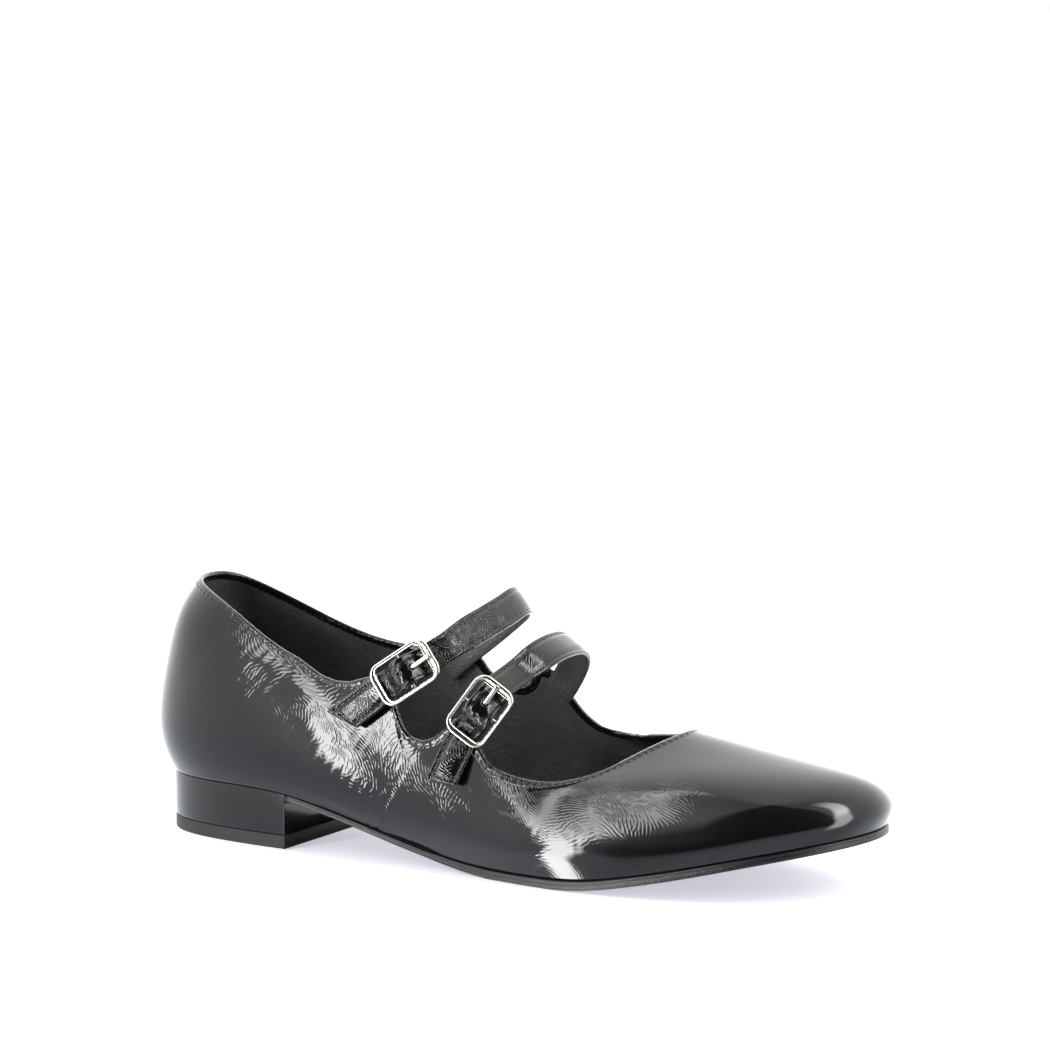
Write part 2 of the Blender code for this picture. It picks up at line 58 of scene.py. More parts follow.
# the last, in millimetres from the back of the heel; -y is the outer side
last = {
    "centre": (126.14, -0.086),
    "wall": 1.7,
    "liftThick": 4.7,
    # x and height of the upper's lower edge
    "bottom": [
        (-10, 19.6), (5, 19.6), (30, 19.6), (56, 18.6), (76, 14.4), (96, 9.2), (116, 5.2), (136, 3.3),
        (152, 3.2), (168, 3.8), (186, 6.6), (206, 10.9), (228, 16.0), (250, 20.0), (262, 21.8),
    ],
    "soleThick": [(50, 2.2), (110, 2.3), (136, 3.3), (160, 3.35), (200, 3.2), (256, 2.8)],
    # x, y of the lower edge: outer side, inner side
    "plan": [
        (1.2, -1.5, 1.2, -1.5), (10, -20.5, 10, 17.0), (34, -28.5, 34, 23.0), (62, -30.5, 62, 21.5),
        (90, -30.5, 90, 18.5), (118, -33.0, 119, 21.5), (146, -37.5, 149, 32.0), (175, -39.5, 180, 39.5),
        (206, -36.0, 212, 37.5), (236, -25.0, 242, 27.5), (254, 2.0, 254, 2.0),
    ],
    # highest line: x, y, z on the outer side, then on the inner side
    "crest": [
        (10, -1, 84.5, 10, -1, 84.5), (16, -14, 83.3, 15, 12, 82.5), (34, -22.5, 76.2, 33, 20, 73.5),
        (60, -26.8, 64.0, 60, 23.5, 63.5), (86, -29, 60.5, 86, 24.5, 61), (105, -30.5, 56, 108, 25.5, 59.5),
        (124, -31, 49.5, 130, 27, 55.5), (144.6, -34.0, 36.2, 148, 27.8, 41),
        (166.2, -28.6, 35.3, 164, 25.5, 39.2), (180, -15.0, 42.3, 179.5, 16.5, 42.8),
        (188.3, 1.5, 46.8, 188.3, 1.5, 46.8),
    ],
    # inward and up from the lower edge: low, flank, shoulder, crown
    "outerSide": [
        ((-3.4, 7), (-5.2, 19), (-2.4, 38), (2.8, 54)),
        ((-3.0, 7), (-4.5, 19), (-2.0, 37), (2.0, 53)),
        ((-2.4, 7), (-3.4, 18), (-1.0, 34), (2.6, 47)),
        ((-2.2, 7), (-3.2, 16), (-1.5, 28), (1.0, 37)),
        ((-2.4, 7), (-3.6, 15), (-2.6, 27), (-0.6, 38)),
        ((-2.4, 6.5), (-3.6, 14), (-2.2, 25), (0.4, 36)),
        ((-2.2, 6), (-3.2, 12), (-1.2, 22), (1.6, 32)),
        ((-2.0, 6), (-2.8, 11.5), (-0.8, 18.5), (2.0, 25)),
    ],
    "innerSide": [
        ((-2.4, 7), (-3.8, 16), (-4.0, 28), (-3.2, 37)),
        ((-3.2, 7), (-5.6, 15), (-6.8, 27), (-6.8, 38)),
        ((-2.8, 7), (-4.6, 16), (-5.2, 29), (-5.0, 41)),
        ((-2.4, 7), (-3.6, 15), (-1.4, 27), (1.6, 38)),
        ((-2.2, 6), (-2.6, 13), (1.2, 21), (5.0, 28.5)),
    ],
    "toe": {
        (-1, 8): ((206.5, -37.6, 16.5), (206, -36.8, 22.0), (202, -33.4, 28.8), (188, -30.0, 34.0)),
        (-1, 9): ((237.2, -26.2, 22.5), (236.2, -25.6, 27.0), (229.5, -21.5, 33.2), (211, -17.5, 39.0)),
        (-1, 10): ((255.8, 2.0, 25.0), (255.4, 2.0, 29.8), (247.5, 2.0, 36.4), (225, 2.0, 40.8)),
        (1, 9): ((243.3, 28.6, 23.3), (242.4, 28.0, 27.6), (234.5, 23.0, 32.6), (211, 16.5, 38.6)),
        (1, 8): ((212.5, 39.2, 17.5), (212, 38.4, 22.8), (206, 33.5, 29.5), (189, 27.0, 36.0)),
    },
    # station round the foot and height of the cut edge, 5 being the crest
    "topline": [
        (0.0, 5.0), (3.0, 5.0), (3.2, 4.86), (3.35, 4.73), (3.56, 4.67), (3.77, 4.73), (3.96, 4.9),
        (4.1, 5.0), (4.45, 5.0), (4.55, 4.92), (4.6, 4.7), (4.63, 4.4), (4.7, 4.15), (4.82, 4.03),
        (5.0, 4.07), (5.23, 4.27), (5.54, 4.6), (5.72, 4.8), (5.85, 4.94), (5.95, 5.0), (6.12, 5.0),
        (6.2, 4.92), (6.26, 4.7), (6.32, 4.52), (6.48, 4.46), (6.77, 4.6), (7.04, 4.73), (7.4, 4.84),
        (7.85, 4.98), (8.1, 5.0), (12.1, 5.0), (12.35, 4.93), (12.7, 4.76), (13.22, 4.27), (13.51, 4.05),
        (13.7, 3.98), (13.83, 4.06), (13.94, 4.22), (14.0, 4.45), (14.04, 4.75), (14.1, 4.93), (14.18, 5.0),
        (14.36, 5.0), (14.43, 4.95), (14.5, 4.78), (14.62, 4.54), (14.78, 4.39), (14.95, 4.36),
        (15.1, 4.44), (15.22, 4.6), (15.29, 4.78), (15.33, 4.94), (15.42, 5.0), (16.1, 5.0),
        (16.4, 4.96), (16.8, 4.98), (17.2, 5.0), (20.0, 5.0),
    ],
}


def naturalCubic(table):
    xs, ys = (np.array(c, float) for c in zip(*table))
    n, h = len(xs), np.diff(xs)
    a, r = np.eye(n), np.zeros(n)
    for i in range(1, n - 1):
        a[i, i - 1], a[i, i], a[i, i + 1] = h[i - 1], 2 * (h[i - 1] + h[i]), h[i]
        r[i] = 6 * ((ys[i + 1] - ys[i]) / h[i] - (ys[i] - ys[i - 1]) / h[i - 1])
    m = np.linalg.solve(a, r)

    def value(x):
        x = np.asarray(x, float)
        i = np.clip(np.searchsorted(xs, x) - 1, 0, n - 2)
        p, q, d = xs[i + 1] - x, x - xs[i], h[i]
        bend = (m[i] * p**3 + m[i + 1] * q**3) / (6 * d)
        return bend + (ys[i] / d - m[i] * d / 6) * p + (ys[i + 1] / d - m[i + 1] * d / 6) * q

    return value


bottomOf = naturalCubic(last["bottom"])


def stationPoints(i, side):
    # six points up the last; side is -1 outer, 1 inner
    x, y = last["plan"][i][:2] if side < 0 else last["plan"][i][2:]
    top = np.array(last["crest"][i][:3] if side < 0 else last["crest"][i][3:], float)
    base = np.array((x, y, float(bottomOf(x))))
    if i >= 8:
        return [base, *np.array(last["toe"][side, i], float), top]
    rows = last["outerSide"] if side < 0 else last["outerSide"][:3] + last["innerSide"]
    inward = {0: (1.0, 0.0), 1: (0.75, -0.66 * side)}.get(i, (0.0, -float(side)))
    points = [base]
    for across, up in rows[i]:
        lean = (top[0] - x) * (up / (top[2] - base[2])) ** 1.3 if i > 1 else 0.0
        points.append(base + (inward[0] * across + lean, inward[1] * across, up))
    return [*points, top]


def controlNet():
    order = [(i, -1) for i in range(11)] + [(i, 1) for i in range(9, 0, -1)]
    points = np.array([stationPoints(i, side) for i, side in order])
    n, m = points.shape[:2]
    ring = np.eye(n) * 4 / 6 + (np.roll(np.eye(n), 1, 0) + np.roll(np.eye(n), -1, 0)) / 6
    rise = np.eye(m)
    for j in range(1, m - 1):
        rise[j, j - 1 : j + 2] = 1 / 6, 4 / 6, 1 / 6
    net = np.einsum("ij,jkc->ikc", np.linalg.inv(ring), points)
    net = np.einsum("jk,nkc->njc", np.linalg.inv(rise), net)
    low, high = 2 * net[:, :1] - net[:, 1:2], 2 * net[:, -1:] - net[:, -2:-1]
    return np.concatenate([low, net, high], 1)


lastNet = controlNet()


def basisOf(f):
    return np.stack([(1 - f) ** 3, 3 * f**3 - 6 * f**2 + 4, -3 * f**3 + 3 * f**2 + 3 * f + 1, f**3]) / 6


def lastPoint(u, v):
    u, v = np.broadcast_arrays(np.asarray(u, float) % 20, np.clip(v, 0, 5))
    iu, iv = np.floor(u).astype(int), np.minimum(np.floor(v).astype(int), 4)
    bu, bv = basisOf(u - iu), basisOf(v - iv)
    out = np.zeros(u.shape + (3,))
    for a in range(4):
        for b in range(4):
            out += (bu[a] * bv[b])[..., None] * lastNet[(iu - 1 + a) % 20, iv + b]
    return out


def unit(v):
    v = np.asarray(v, float)
    return v / np.linalg.norm(v, axis=-1, keepdims=True)


def lastNormal(u, v):
    v = np.clip(v, 0.01, 4.99)
    along = lastPoint(u + 0.01, v) - lastPoint(u - 0.01, v)
    up = lastPoint(u, v + 0.01) - lastPoint(u, v - 0.01)
    return unit(np.cross(along, up))


# how far the corners of the cut edge are eased, in stations, and the inner notch, where it is eased most
toplineEase = {
    "samples": 4000, "blur": 0.03, "notchBlur": 0.08,
    "notch": ((14.44, 0), (14.52, 1), (15.1, 1), (15.25, 0)),
}


def easedRound(values, blur, step):
    reach = int(4 * blur / step)
    kernel = np.exp(-0.5 * (np.arange(-reach, reach + 1) * step / blur) ** 2)
    return np.convolve(np.pad(values, reach, "wrap"), kernel / kernel.sum(), "valid")


def smoothTopline():
    b = toplineEase
    step = 20 / b["samples"]
    us = np.arange(b["samples"]) * 20 / b["samples"]
    vs = np.interp(us, *zip(*last["topline"]))
    sharp, soft = easedRound(vs, b["blur"], step), easedRound(vs, b["notchBlur"], step)
    return us, sharp + (soft - sharp) * np.interp(us, *zip(*b["notch"]))


edgeU, edgeV = smoothTopline()


def toplineAt(u):
    return np.interp(np.asarray(u) % 20, np.append(edgeU, 20.0), np.append(edgeV, edgeV[0]))


def toRow(points):
    # millimetres from the heel to metres in the part's frame
    return (np.asarray(points, float) - (*last["centre"], 0.0)) * 0.001


def runOf(points):
    # how far along a line of points each one is
    return np.concatenate([[0], np.cumsum(np.linalg.norm(np.diff(points, axis=0), axis=1))])


def leatherMap(place, run, ring=None):
    # a map for place[column, row], where 1 is 100 mm of leather; it goes round each column, or as on one ring
    rings = place if ring is None else place[ring : ring + 1]
    uv = np.zeros(place.shape[:2] + (2,))
    uv[:, :, 0] = run[:, None] / 100
    uv[:, 1:, 1] = np.cumsum(np.linalg.norm(np.diff(rings, axis=1), axis=2), 1) / 100
    return uv


def gridPiece(name, columns, rows, place, materials=(), pickMaterial=None, uv=None, smooth=True):
    # a grid whose vertices are moved to place[column, row]; seams and collapsed rows are merged
    bm = bmesh.new()
    bmesh.ops.create_grid(bm, x_segments=columns, y_segments=rows, size=0.5)
    uvLayer = bm.loops.layers.uv.new("leather") if uv is not None else None
    slots = {}
    for vert in bm.verts:
        slots[vert] = (round((vert.co.x + 0.5) * columns), round((vert.co.y + 0.5) * rows))
    for face in bm.faces:
        face.smooth = smooth
        cells = [slots[v] for v in face.verts]
        if pickMaterial:
            face.material_index = pickMaterial(min(c[1] for c in cells))
        if uvLayer is not None:
            for loop, cell in zip(face.loops, cells):
                loop[uvLayer].uv = uv[cell]
    placed = toRow(place)
    for vert, (i, j) in slots.items():
        vert.co = placed[i, j]
    return finishPiece(name, bm, materials)


def finishPiece(name, bm, materials, merge=2e-6):
    bmesh.ops.remove_doubles(bm, verts=bm.verts, dist=merge)
    bmesh.ops.dissolve_degenerate(bm, edges=bm.edges, dist=1e-7)
    bmesh.ops.recalc_face_normals(bm, faces=bm.faces)
    mesh = bpy.data.meshes.new(name)
    bm.to_mesh(mesh)
    bm.free()
    piece = bpy.data.objects.new(name, mesh)
    bpy.context.scene.collection.objects.link(piece)
    for material in materials:
        mesh.materials.append(material)
    return piece


def dress(piece, node):
    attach(piece, "root")
    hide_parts(node)
    print("piece", piece.name, len(piece.data.polygons), "faces")


# Materials


def hexColour(text):
    parts = [int(text[i : i + 2], 16) / 255 for i in (1, 3, 5)]
    return (*[p / 12.92 if p <= 0.04045 else ((p + 0.055) / 1.055) ** 2.4 for p in parts], 1.0)


def addNode(tree, kind, inputs=None, **settings):
    # inputs: name or index -> a socket to link or a value; settings: node attributes, or values by input name
    node = tree.nodes.new(kind)
    for key, value in settings.items():
        if hasattr(node, key):
            setattr(node, key, value)
        else:
            node.inputs[key.replace("_", " ")].default_value = value
    for key, value in (inputs or {}).items():
        if isinstance(value, bpy.types.NodeSocket):
            tree.links.new(value, node.inputs[key])
        else:
            node.inputs[key].default_value = value
    return node


def newMaterial(name, **shaderValues):
    material = bpy.data.materials.new(name)
    material.use_nodes = True
    tree = material.node_tree
    shader = tree.nodes["Principled BSDF"]
    for key, value in shaderValues.items():
        shader.inputs[key.replace("_", " ")].default_value = value
    return material, tree, shader


# black patent leather: split cowhide under a thick cast polyurethane film, mirror smooth where it is
# stretched on the last and broken into fine flowing creases where the hide is loose; widths and depths in mm
patentLook = {
    "colour": "#09090a", "filmRoughness": 0.035, "creaseWidth": 1.3, "creaseDepth": 0.038, "flowWidth": 26.0,
    "patchWidth": 17.0, "patchLow": 0.55, "rippleWidth": 8.0, "rippleDepth": 0.016,
    "creasePatch": 4.6, "creaseOrder": 0.82, "creaseTurn": (-1.1, 1.6),
}
# on the straps the creases are finer and deeper
strapLook = {
    **patentLook, "creaseWidth": 0.95, "creaseDepth": 0.1, "flowWidth": 9.0, "patchWidth": 9.0,
    "patchLow": 0.4, "rippleWidth": 5.0, "rippleDepth": 0.06,
}


def patentMaterial(name, look):
    # the pattern lies in the piece's own map, where 1 is 100 mm of leather
    material, tree, shader = newMaterial(
        name, Base_Color=hexColour(look["colour"]), Roughness=0.3, IOR=1.5, Specular_IOR_Level=0.06,
        Coat_Weight=1.0, Coat_Roughness=look["filmRoughness"], Coat_IOR=1.5,
    )
    where = addNode(tree, "ShaderNodeUVMap", uv_map="leather").outputs[0]
    # the way the creases run turns slowly over the hide
    flow = addNode(tree, "ShaderNodeTexNoise", {"Vector": where}, noise_dimensions="2D", Detail=0.5,
                   Scale=100 / look["flowWidth"])
    angle = addNode(tree, "ShaderNodeMapRange", {"Value": flow.outputs[0]}, clamp=False, From_Min=0.3,
                    From_Max=0.7, To_Min=look["creaseTurn"][0], To_Max=look["creaseTurn"][1])
    ridges = addNode(tree, "ShaderNodeTexGabor", {"Vector": where, "Orientation": angle.outputs[0]},
                     gabor_type="2D", Scale=100 / look["creasePatch"],
                     Frequency=look["creasePatch"] / look["creaseWidth"], Anisotropy=look["creaseOrder"])
    plateau = addNode(tree, "ShaderNodeMapRange", {"Value": ridges.outputs["Value"]},
                      interpolation_type="SMOOTHSTEP", From_Min=0.28, From_Max=0.62)
    # they come in patches, and only where the hide is loose
    patches = addNode(tree, "ShaderNodeTexNoise", {"Vector": where}, noise_dimensions="2D", Detail=1.0,
                      Scale=100 / look["patchWidth"])
    loose = addNode(tree, "ShaderNodeMapRange", {"Value": patches.outputs[0]}, From_Min=0.32, From_Max=0.56,
                    To_Min=look["patchLow"])
    grain = addNode(tree, "ShaderNodeAttribute", attribute_name="grain").outputs["Fac"]
    strength = addNode(tree, "ShaderNodeMath", {0: loose.outputs[0], 1: grain}, operation="MULTIPLY")
    height = addNode(tree, "ShaderNodeMath", {0: plateau.outputs[0], 1: strength.outputs[0]},
                     operation="MULTIPLY")
    ripple = addNode(tree, "ShaderNodeTexNoise", {"Vector": where}, noise_dimensions="2D", Detail=1.0,
                     Scale=100 / look["rippleWidth"])
    coarse = addNode(tree, "ShaderNodeBump", {"Height": ripple.outputs[0]},
                     Distance=look["rippleDepth"] * 0.001)
    bump = addNode(tree, "ShaderNodeBump", {"Height": height.outputs[0], "Normal": coarse.outputs[0]},
                   Distance=look["creaseDepth"] * 0.001)
    tree.links.new(bump.outputs[0], shader.inputs["Normal"])
    tree.links.new(bump.outputs[0], shader.inputs["Coat Normal"])
    return material


def skinnedMaterial(name, grain, detail, depth, **shaderValues):
    # a plain finish whose only relief is a fine even skin; grain and depth in mm
    material, tree, shader = newMaterial(name, **shaderValues)
    where = addNode(tree, "ShaderNodeTexCoord").outputs["Object"]
    skin = addNode(tree, "ShaderNodeTexNoise", {"Vector": where}, Scale=1000 / grain, Detail=detail)
    bump = addNode(tree, "ShaderNodeBump", {"Height": skin.outputs[0]}, Distance=depth * 0.001)
    tree.links.new(bump.outputs[0], shader.inputs["Normal"])
    return material


patent = patentMaterial("crinkledPatentLeather", patentLook)
strapPatent = patentMaterial("strapPatentLeather", strapLook)

# lining: thin black glove leather, drum dyed, matte with a soft mottle, pores and small creases
liningLook = {
    "dark": "#373738", "light": "#565657", "mottle": 14.0, "grain": 0.9, "grainDepth": 0.12, "crease": 5.0,
    "creaseDepth": 0.6,
}
lining, tree, shader = newMaterial("gloveLeatherLining", Roughness=0.5, IOR=1.45)
where = addNode(tree, "ShaderNodeTexCoord").outputs["Object"]
mottle = addNode(tree, "ShaderNodeTexNoise", {"Vector": where}, Scale=1000 / liningLook["mottle"], Detail=4.0)
tint = addNode(tree, "ShaderNodeMix", {
    "Factor": mottle.outputs[0], "A": hexColour(liningLook["dark"]), "B": hexColour(liningLook["light"]),
}, data_type="RGBA")
tree.links.new(tint.outputs["Result"], shader.inputs["Base Color"])
pores = addNode(tree, "ShaderNodeTexVoronoi", {"Vector": where}, Scale=1000 / liningLook["grain"])
creases = addNode(tree, "ShaderNodeTexNoise", {"Vector": where}, Scale=1000 / liningLook["crease"],
                  Detail=3.0)
rough = addNode(tree, "ShaderNodeBump", {"Height": creases.outputs[0]},
                Distance=liningLook["creaseDepth"] * 0.001)
bump = addNode(tree, "ShaderNodeBump", {"Height": pores.outputs["Distance"], "Normal": rough.outputs[0]},
               Distance=liningLook["grainDepth"] * 0.001)
tree.links.new(bump.outputs[0], shader.inputs["Normal"])

# bonded polyester thread, black, waxed: a dull soft shine
thread, tree, shader = newMaterial("waxedThread", Base_Color=hexColour("#0b0b0c"), Roughness=0.42)

# zinc die casting, polished and nickel plated: a warm grey mirror with faint polishing lines
nickel = skinnedMaterial(
    "polishedNickel", 1.2, 3.0, 0.01, Base_Color=hexColour("#d2d0ca"), Metallic=1.0, Roughness=0.26,
)

# heel block: ABS moulding, sprayed black: a satin film with a little orange peel
# the faint blue cast of its black base colour is a painted reflection of the bluish lit table
heelPaint = skinnedMaterial(
    "sprayedHeelAbs", 2.0, 2.0, 0.02, Base_Color=hexColour("#0a0b0d"), Roughness=0.5, Specular_IOR_Level=0.06,
    Coat_Weight=0.95, Coat_Roughness=0.12,
)

# top lift: injection moulded polyurethane rubber, matte with a trace of release marks
liftRubber = skinnedMaterial("liftRubber", 0.8, 4.0, 0.03, Base_Color=hexColour("#1c1c1d"), Roughness=0.62)

# outsole: resin rubber sheet, its edge scoured and inked, so it glints unevenly
soleResin = skinnedMaterial("resinRubberSole", 0.9, 5.0, 0.2, Base_Color=hexColour("#161617"), Roughness=0.36)
print("materials made")

# Upper: patent outside, lining inside, one closed wall

# spacing crowds the rows towards the cut edge; rimEase keeps the step back to the last of them
upperBuild = {
    "columns": 760, "outerRows": 60, "rimRows": 5, "innerRows": 26,
    "spacing": 1.35, "rimEase": 12, "girthAt": 2.2,
}


def evenColumns(count):
    # stations spaced by the length of the top and bottom edges together
    us = np.linspace(0, 20, 4001)
    top, low = lastPoint(us, toplineAt(us)), lastPoint(us, 0.0)
    run = np.linalg.norm(np.diff(top, axis=0), axis=1) + np.linalg.norm(np.diff(low, axis=0), axis=1)
    total = np.concatenate([[0], np.cumsum(run)])
    return np.interp(np.linspace(0, total[-1], count + 1), total, us)


def edgeFrame(us):
    # point, outward normal and in-surface upward direction of the cut edge
    point = lastPoint(us, toplineAt(us))
    along = unit(lastPoint(us + 0.004, toplineAt(us + 0.004)) - lastPoint(us - 0.004, toplineAt(us - 0.004)))
    normal = lastNormal(us, toplineAt(us))
    normal = unit(normal - along * (normal * along).sum(-1, keepdims=True))
    return point, normal, np.cross(normal, along)


# main creases and swells of the loose hide: start and end (station, height), half width mm, rise mm
upperCreases = [
    ((1.9, 4.3), (4.4, 1.6), 22.0, 0.9), ((2.2, 3.9), (3.3, 3.2), 5.0, -0.25),
    ((2.9, 4.2), (3.6, 2.6), 6.0, 0.3), ((3.3, 3.9), (4.2, 2.2), 5.0, -0.22),
    ((4.3, 2.9), (5.2, 2.4), 6.0, 0.25), ((5.4, 3.4), (6.4, 2.2), 5.0, -0.28),
    ((6.1, 3.2), (7.2, 2.4), 5.0, 0.25), ((7.45, 4.8), (6.7, 2.4), 10.0, -0.5),
    ((6.9, 4.0), (6.6, 2.2), 6.0, 0.2), ((13.1, 3.2), (14.2, 2.0), 6.0, -0.25),
    ((15.0, 3.2), (16.2, 2.4), 6.0, 0.25),
]


def creaseHeight(points, steps=24):
    # each crease runs out towards both of its ends
    out = np.zeros(points.shape[:-1])
    for start, end, width, depth in upperCreases:
        t = np.linspace(0, 1, steps)
        line = lastPoint(start[0] + (end[0] - start[0]) * t, start[1] + (end[1] - start[1]) * t)
        near = np.full(out.shape, 1e9)
        fade = np.zeros(out.shape)
        for k, p in enumerate(line):
            d = np.linalg.norm(points - p, axis=-1)
            fade = np.where(d < near, math.sin(math.pi * (k + 0.5) / steps) ** 0.5, fade)
            near = np.minimum(near, d)
        out += depth * np.exp(-((near / width) ** 2)) * fade
    return out


def buildUpper():
    b = upperBuild
    wall, r = last["wall"], last["wall"] / 2
    us = evenColumns(b["columns"])
    us[-1] = us[0] + 20
    vTop = toplineAt(us)
    point, normal, up = edgeFrame(us)
    share = 1 - (1 - np.linspace(0, 1, b["outerRows"] + 1)) ** b["spacing"]
    gridU, gridV = us[:, None] + 0 * share[None], vTop[:, None] * share[None]
    outer, side = lastPoint(gridU, gridV), lastNormal(gridU, gridV)
    side[:, 0] = unit(side[:, 0] * (1, 1, 0))
    outer[:, 0, 2] = bottomOf(outer[:, 0, 0])
    # rows near the cut edge step back so that the rim is round
    outer -= up[:, None] * (r * share[None] ** b["rimEase"])[..., None]
    inShare = np.linspace(1, 0, b["innerRows"] + 1)
    gridU, gridV = us[:, None] + 0 * inShare[None], vTop[:, None] * inShare[None]
    inner, innerSide = lastPoint(gridU, gridV), lastNormal(gridU, gridV)
    innerSide[:, -1] = side[:, 0]
    inner[:, -1, 2] = bottomOf(inner[:, -1, 0])
    inner -= wall * innerSide
    inner -= up[:, None] * (r * inShare[None] ** b["rimEase"])[..., None]
    centre = point - up * r - normal * r
    angles = np.linspace(0, np.pi, b["rimRows"] + 2)[1:-1]
    rim = centre[:, None] + r * (
        np.cos(angles)[None, :, None] * normal[:, None] + np.sin(angles)[None, :, None] * up[:, None]
    )
    # the relief dies out at the sole and at the folded edge
    relief = creaseHeight(outer) * np.clip(share * 8, 0, 1)[None] * np.clip((1 - share) * 6, 0, 1)[None]
    outer += side * relief[..., None]
    place = np.concatenate([outer, rim, inner, outer[:, :1]], 1)
    place[-1] = place[0]
    rows = place.shape[1] - 1
    uv = leatherMap(place, runOf(lastPoint(us, b["girthAt"])))
    firstInner = b["outerRows"] + b["rimRows"] + 2
    return gridPiece(
        "upperLeather", b["columns"], rows, place, (patent, lining),
        lambda row: 1 if firstInner <= row < rows - 1 else 0, uv,
    )


upperLeather = buildUpper()


def paintGrain(piece, rule):
    # strength of the crinkle at each vertex, from its place in millimetres
    mesh = piece.data
    flat = np.empty(len(mesh.vertices) * 3)
    mesh.vertices.foreach_get("co", flat)
    mm = flat.reshape(-1, 3) * 1000 + (*last["centre"], 0.0)
    layer = mesh.attributes.new("grain", "FLOAT", "POINT")
    layer.data.foreach_set("value", rule(mm).astype(np.float32))


# where the hide is loose and breaks into creases: place along and height, reach along and up in mm, strength
looseHide = [
    (40, 62, 6, 10, 0.7), (42, 53, 5, 5, 0.6), (58, 61, 12, 6, 0.7), (73, 52, 10, 8, 0.9),
    (85, 43, 11, 11, 1.0), (92, 31, 11, 9, 1.0), (100, 34, 9, 10, 0.8), (112, 26, 9, 7, 0.9),
    (125, 25, 12, 7, 1.0), (143, 28, 15, 8, 0.9), (158, 30, 10, 6, 0.5), (155, 13, 6, 6, 0.8),
    (163, 18, 7, 5, 1.0), (171, 25, 10, 7, 1.0), (183, 29, 12, 7, 1.0), (195, 32, 11, 6, 0.9),
]
# elsewhere, and above all at the toe and the heel cup, it is stretched smooth: mm from the heel, strength
tautHide = ((20, 0.03), (45, 0.12), (180, 0.12), (212, 0.0))


def upperGrain(mm):
    strength = np.interp(mm[:, 0], *zip(*tautHide))
    for x, z, reachX, reachZ, top in looseHide:
        far = np.hypot((mm[:, 0] - x) / reachX, (mm[:, 2] - z) / reachZ)
        strength = np.maximum(strength, top * np.clip(1.7 - 1.1 * far, 0.0, 1.0))
    return strength


paintGrain(upperLeather, upperGrain)
dress(upperLeather, "upper")

# Folded edge with its stitches

foldBuild = {
    "columns": 2200, "proud": 0.16, "stitchAt": 2.0, "pitch": 2.3, "pucker": 0.1, "rumple": 0.035,
    "turnOver": 14,  # columns
    # down from the edge, stands proud, share of the pucker, share of the rumple
    "outside": (
        (3.2, -0.2, 0.0, 0.0), (2.8, 0.0, 0.1, 0.1), (2.5, 0.05, 0.6, 0.4), (2.25, 0.05, 1.0, 0.6),
        (2.0, 0.0, 1.0, 0.6), (1.75, 0.06, 1.0, 0.8), (1.45, 0.14, 0.7, 1.0), (1.1, 0.18, 0.4, 1.0),
        (0.8, 0.18, 0.3, 1.0),
    ),
    "round": (12, 36, 60, 84, 108, 132, 156, 180),  # degrees over the rim
    "inside": ((1.4, 0.14), (2.0, 0.05), (2.4, 0.0), (2.6, -0.3)),
    # the thread's length as a share of the pitch, its thickness, and how it stands outside and in
    "threadLength": 0.72, "threadThick": 0.36, "threadOut": 0.1, "threadIn": 0.06,
}
chance = np.random.default_rng(11)


def soften(values, reach):
    kernel = np.hanning(2 * reach + 3)[1:-1]
    return np.convolve(np.pad(values, reach, "wrap"), kernel / kernel.sum(), "valid")


def buildFold():
    b = foldBuild
    us = np.linspace(0, 20, 8001)
    total = runOf(lastPoint(us, toplineAt(us)))
    length = total[-1]
    count = round(length / b["pitch"])
    pitch = length / count
    run = np.linspace(0, length, b["columns"] + 1)
    us = np.interp(run, total, us)
    us[-1] = us[0] + 20
    point, normal, up = edgeFrame(us)
    # the strip turns round a corner over its own width
    up = unit(np.stack([soften(up[:-1, k], b["turnOver"]) for k in (0, 1, 2)], 1))
    up = np.concatenate([up, up[:1]])
    # leather bulges between the stitches and is pulled flat where the needle went in
    each = chance.uniform(0.55, 1.0, count)[np.minimum((run / pitch).astype(int), count - 1)]
    bulge = (0.5 - 0.5 * np.cos(2 * np.pi * run / pitch)) * each
    rumples = [soften(chance.normal(0, 1, b["columns"] + 1), 3) * b["rumple"] * 1.6 for _ in range(4)]
    rows = []
    for k, (down, out, pull, rumple) in enumerate(b["outside"]):
        lift = out + b["pucker"] * pull * bulge + rumple * rumples[k % 4]
        rows.append(point - up * down + normal * lift[:, None])
    r = last["wall"] / 2
    centre = point - up * r - normal * r
    for k, angle in enumerate(np.radians(b["round"])):
        size = r + b["proud"] * (1 - 0.4 * angle / np.pi) + 0.4 * b["pucker"] * bulge + 0.5 * rumples[k % 4]
        rows.append(centre + size[:, None] * (math.cos(angle) * normal + math.sin(angle) * up))
    inside = point - normal * last["wall"]
    for down, out in b["inside"]:
        rows.append(inside - up * down - normal * out)
    # back through the wall to the first row
    rows.append(point - normal * r - up * b["inside"][-1][0])
    rows.append(rows[0])
    place = np.stack(rows, 1)
    place[-1] = place[0]
    uv = leatherMap(place, run)
    piece = gridPiece("toplineFold", b["columns"], len(rows) - 1, place, (strapPatent,), None, uv)
    return piece, run, us, pitch, count


toplineFold, foldRun, foldU, foldPitch, stitchCount = buildFold()
paintGrain(toplineFold, lambda mm: 0.25 + 0.6 * upperGrain(mm))
dress(toplineFold, "upper")


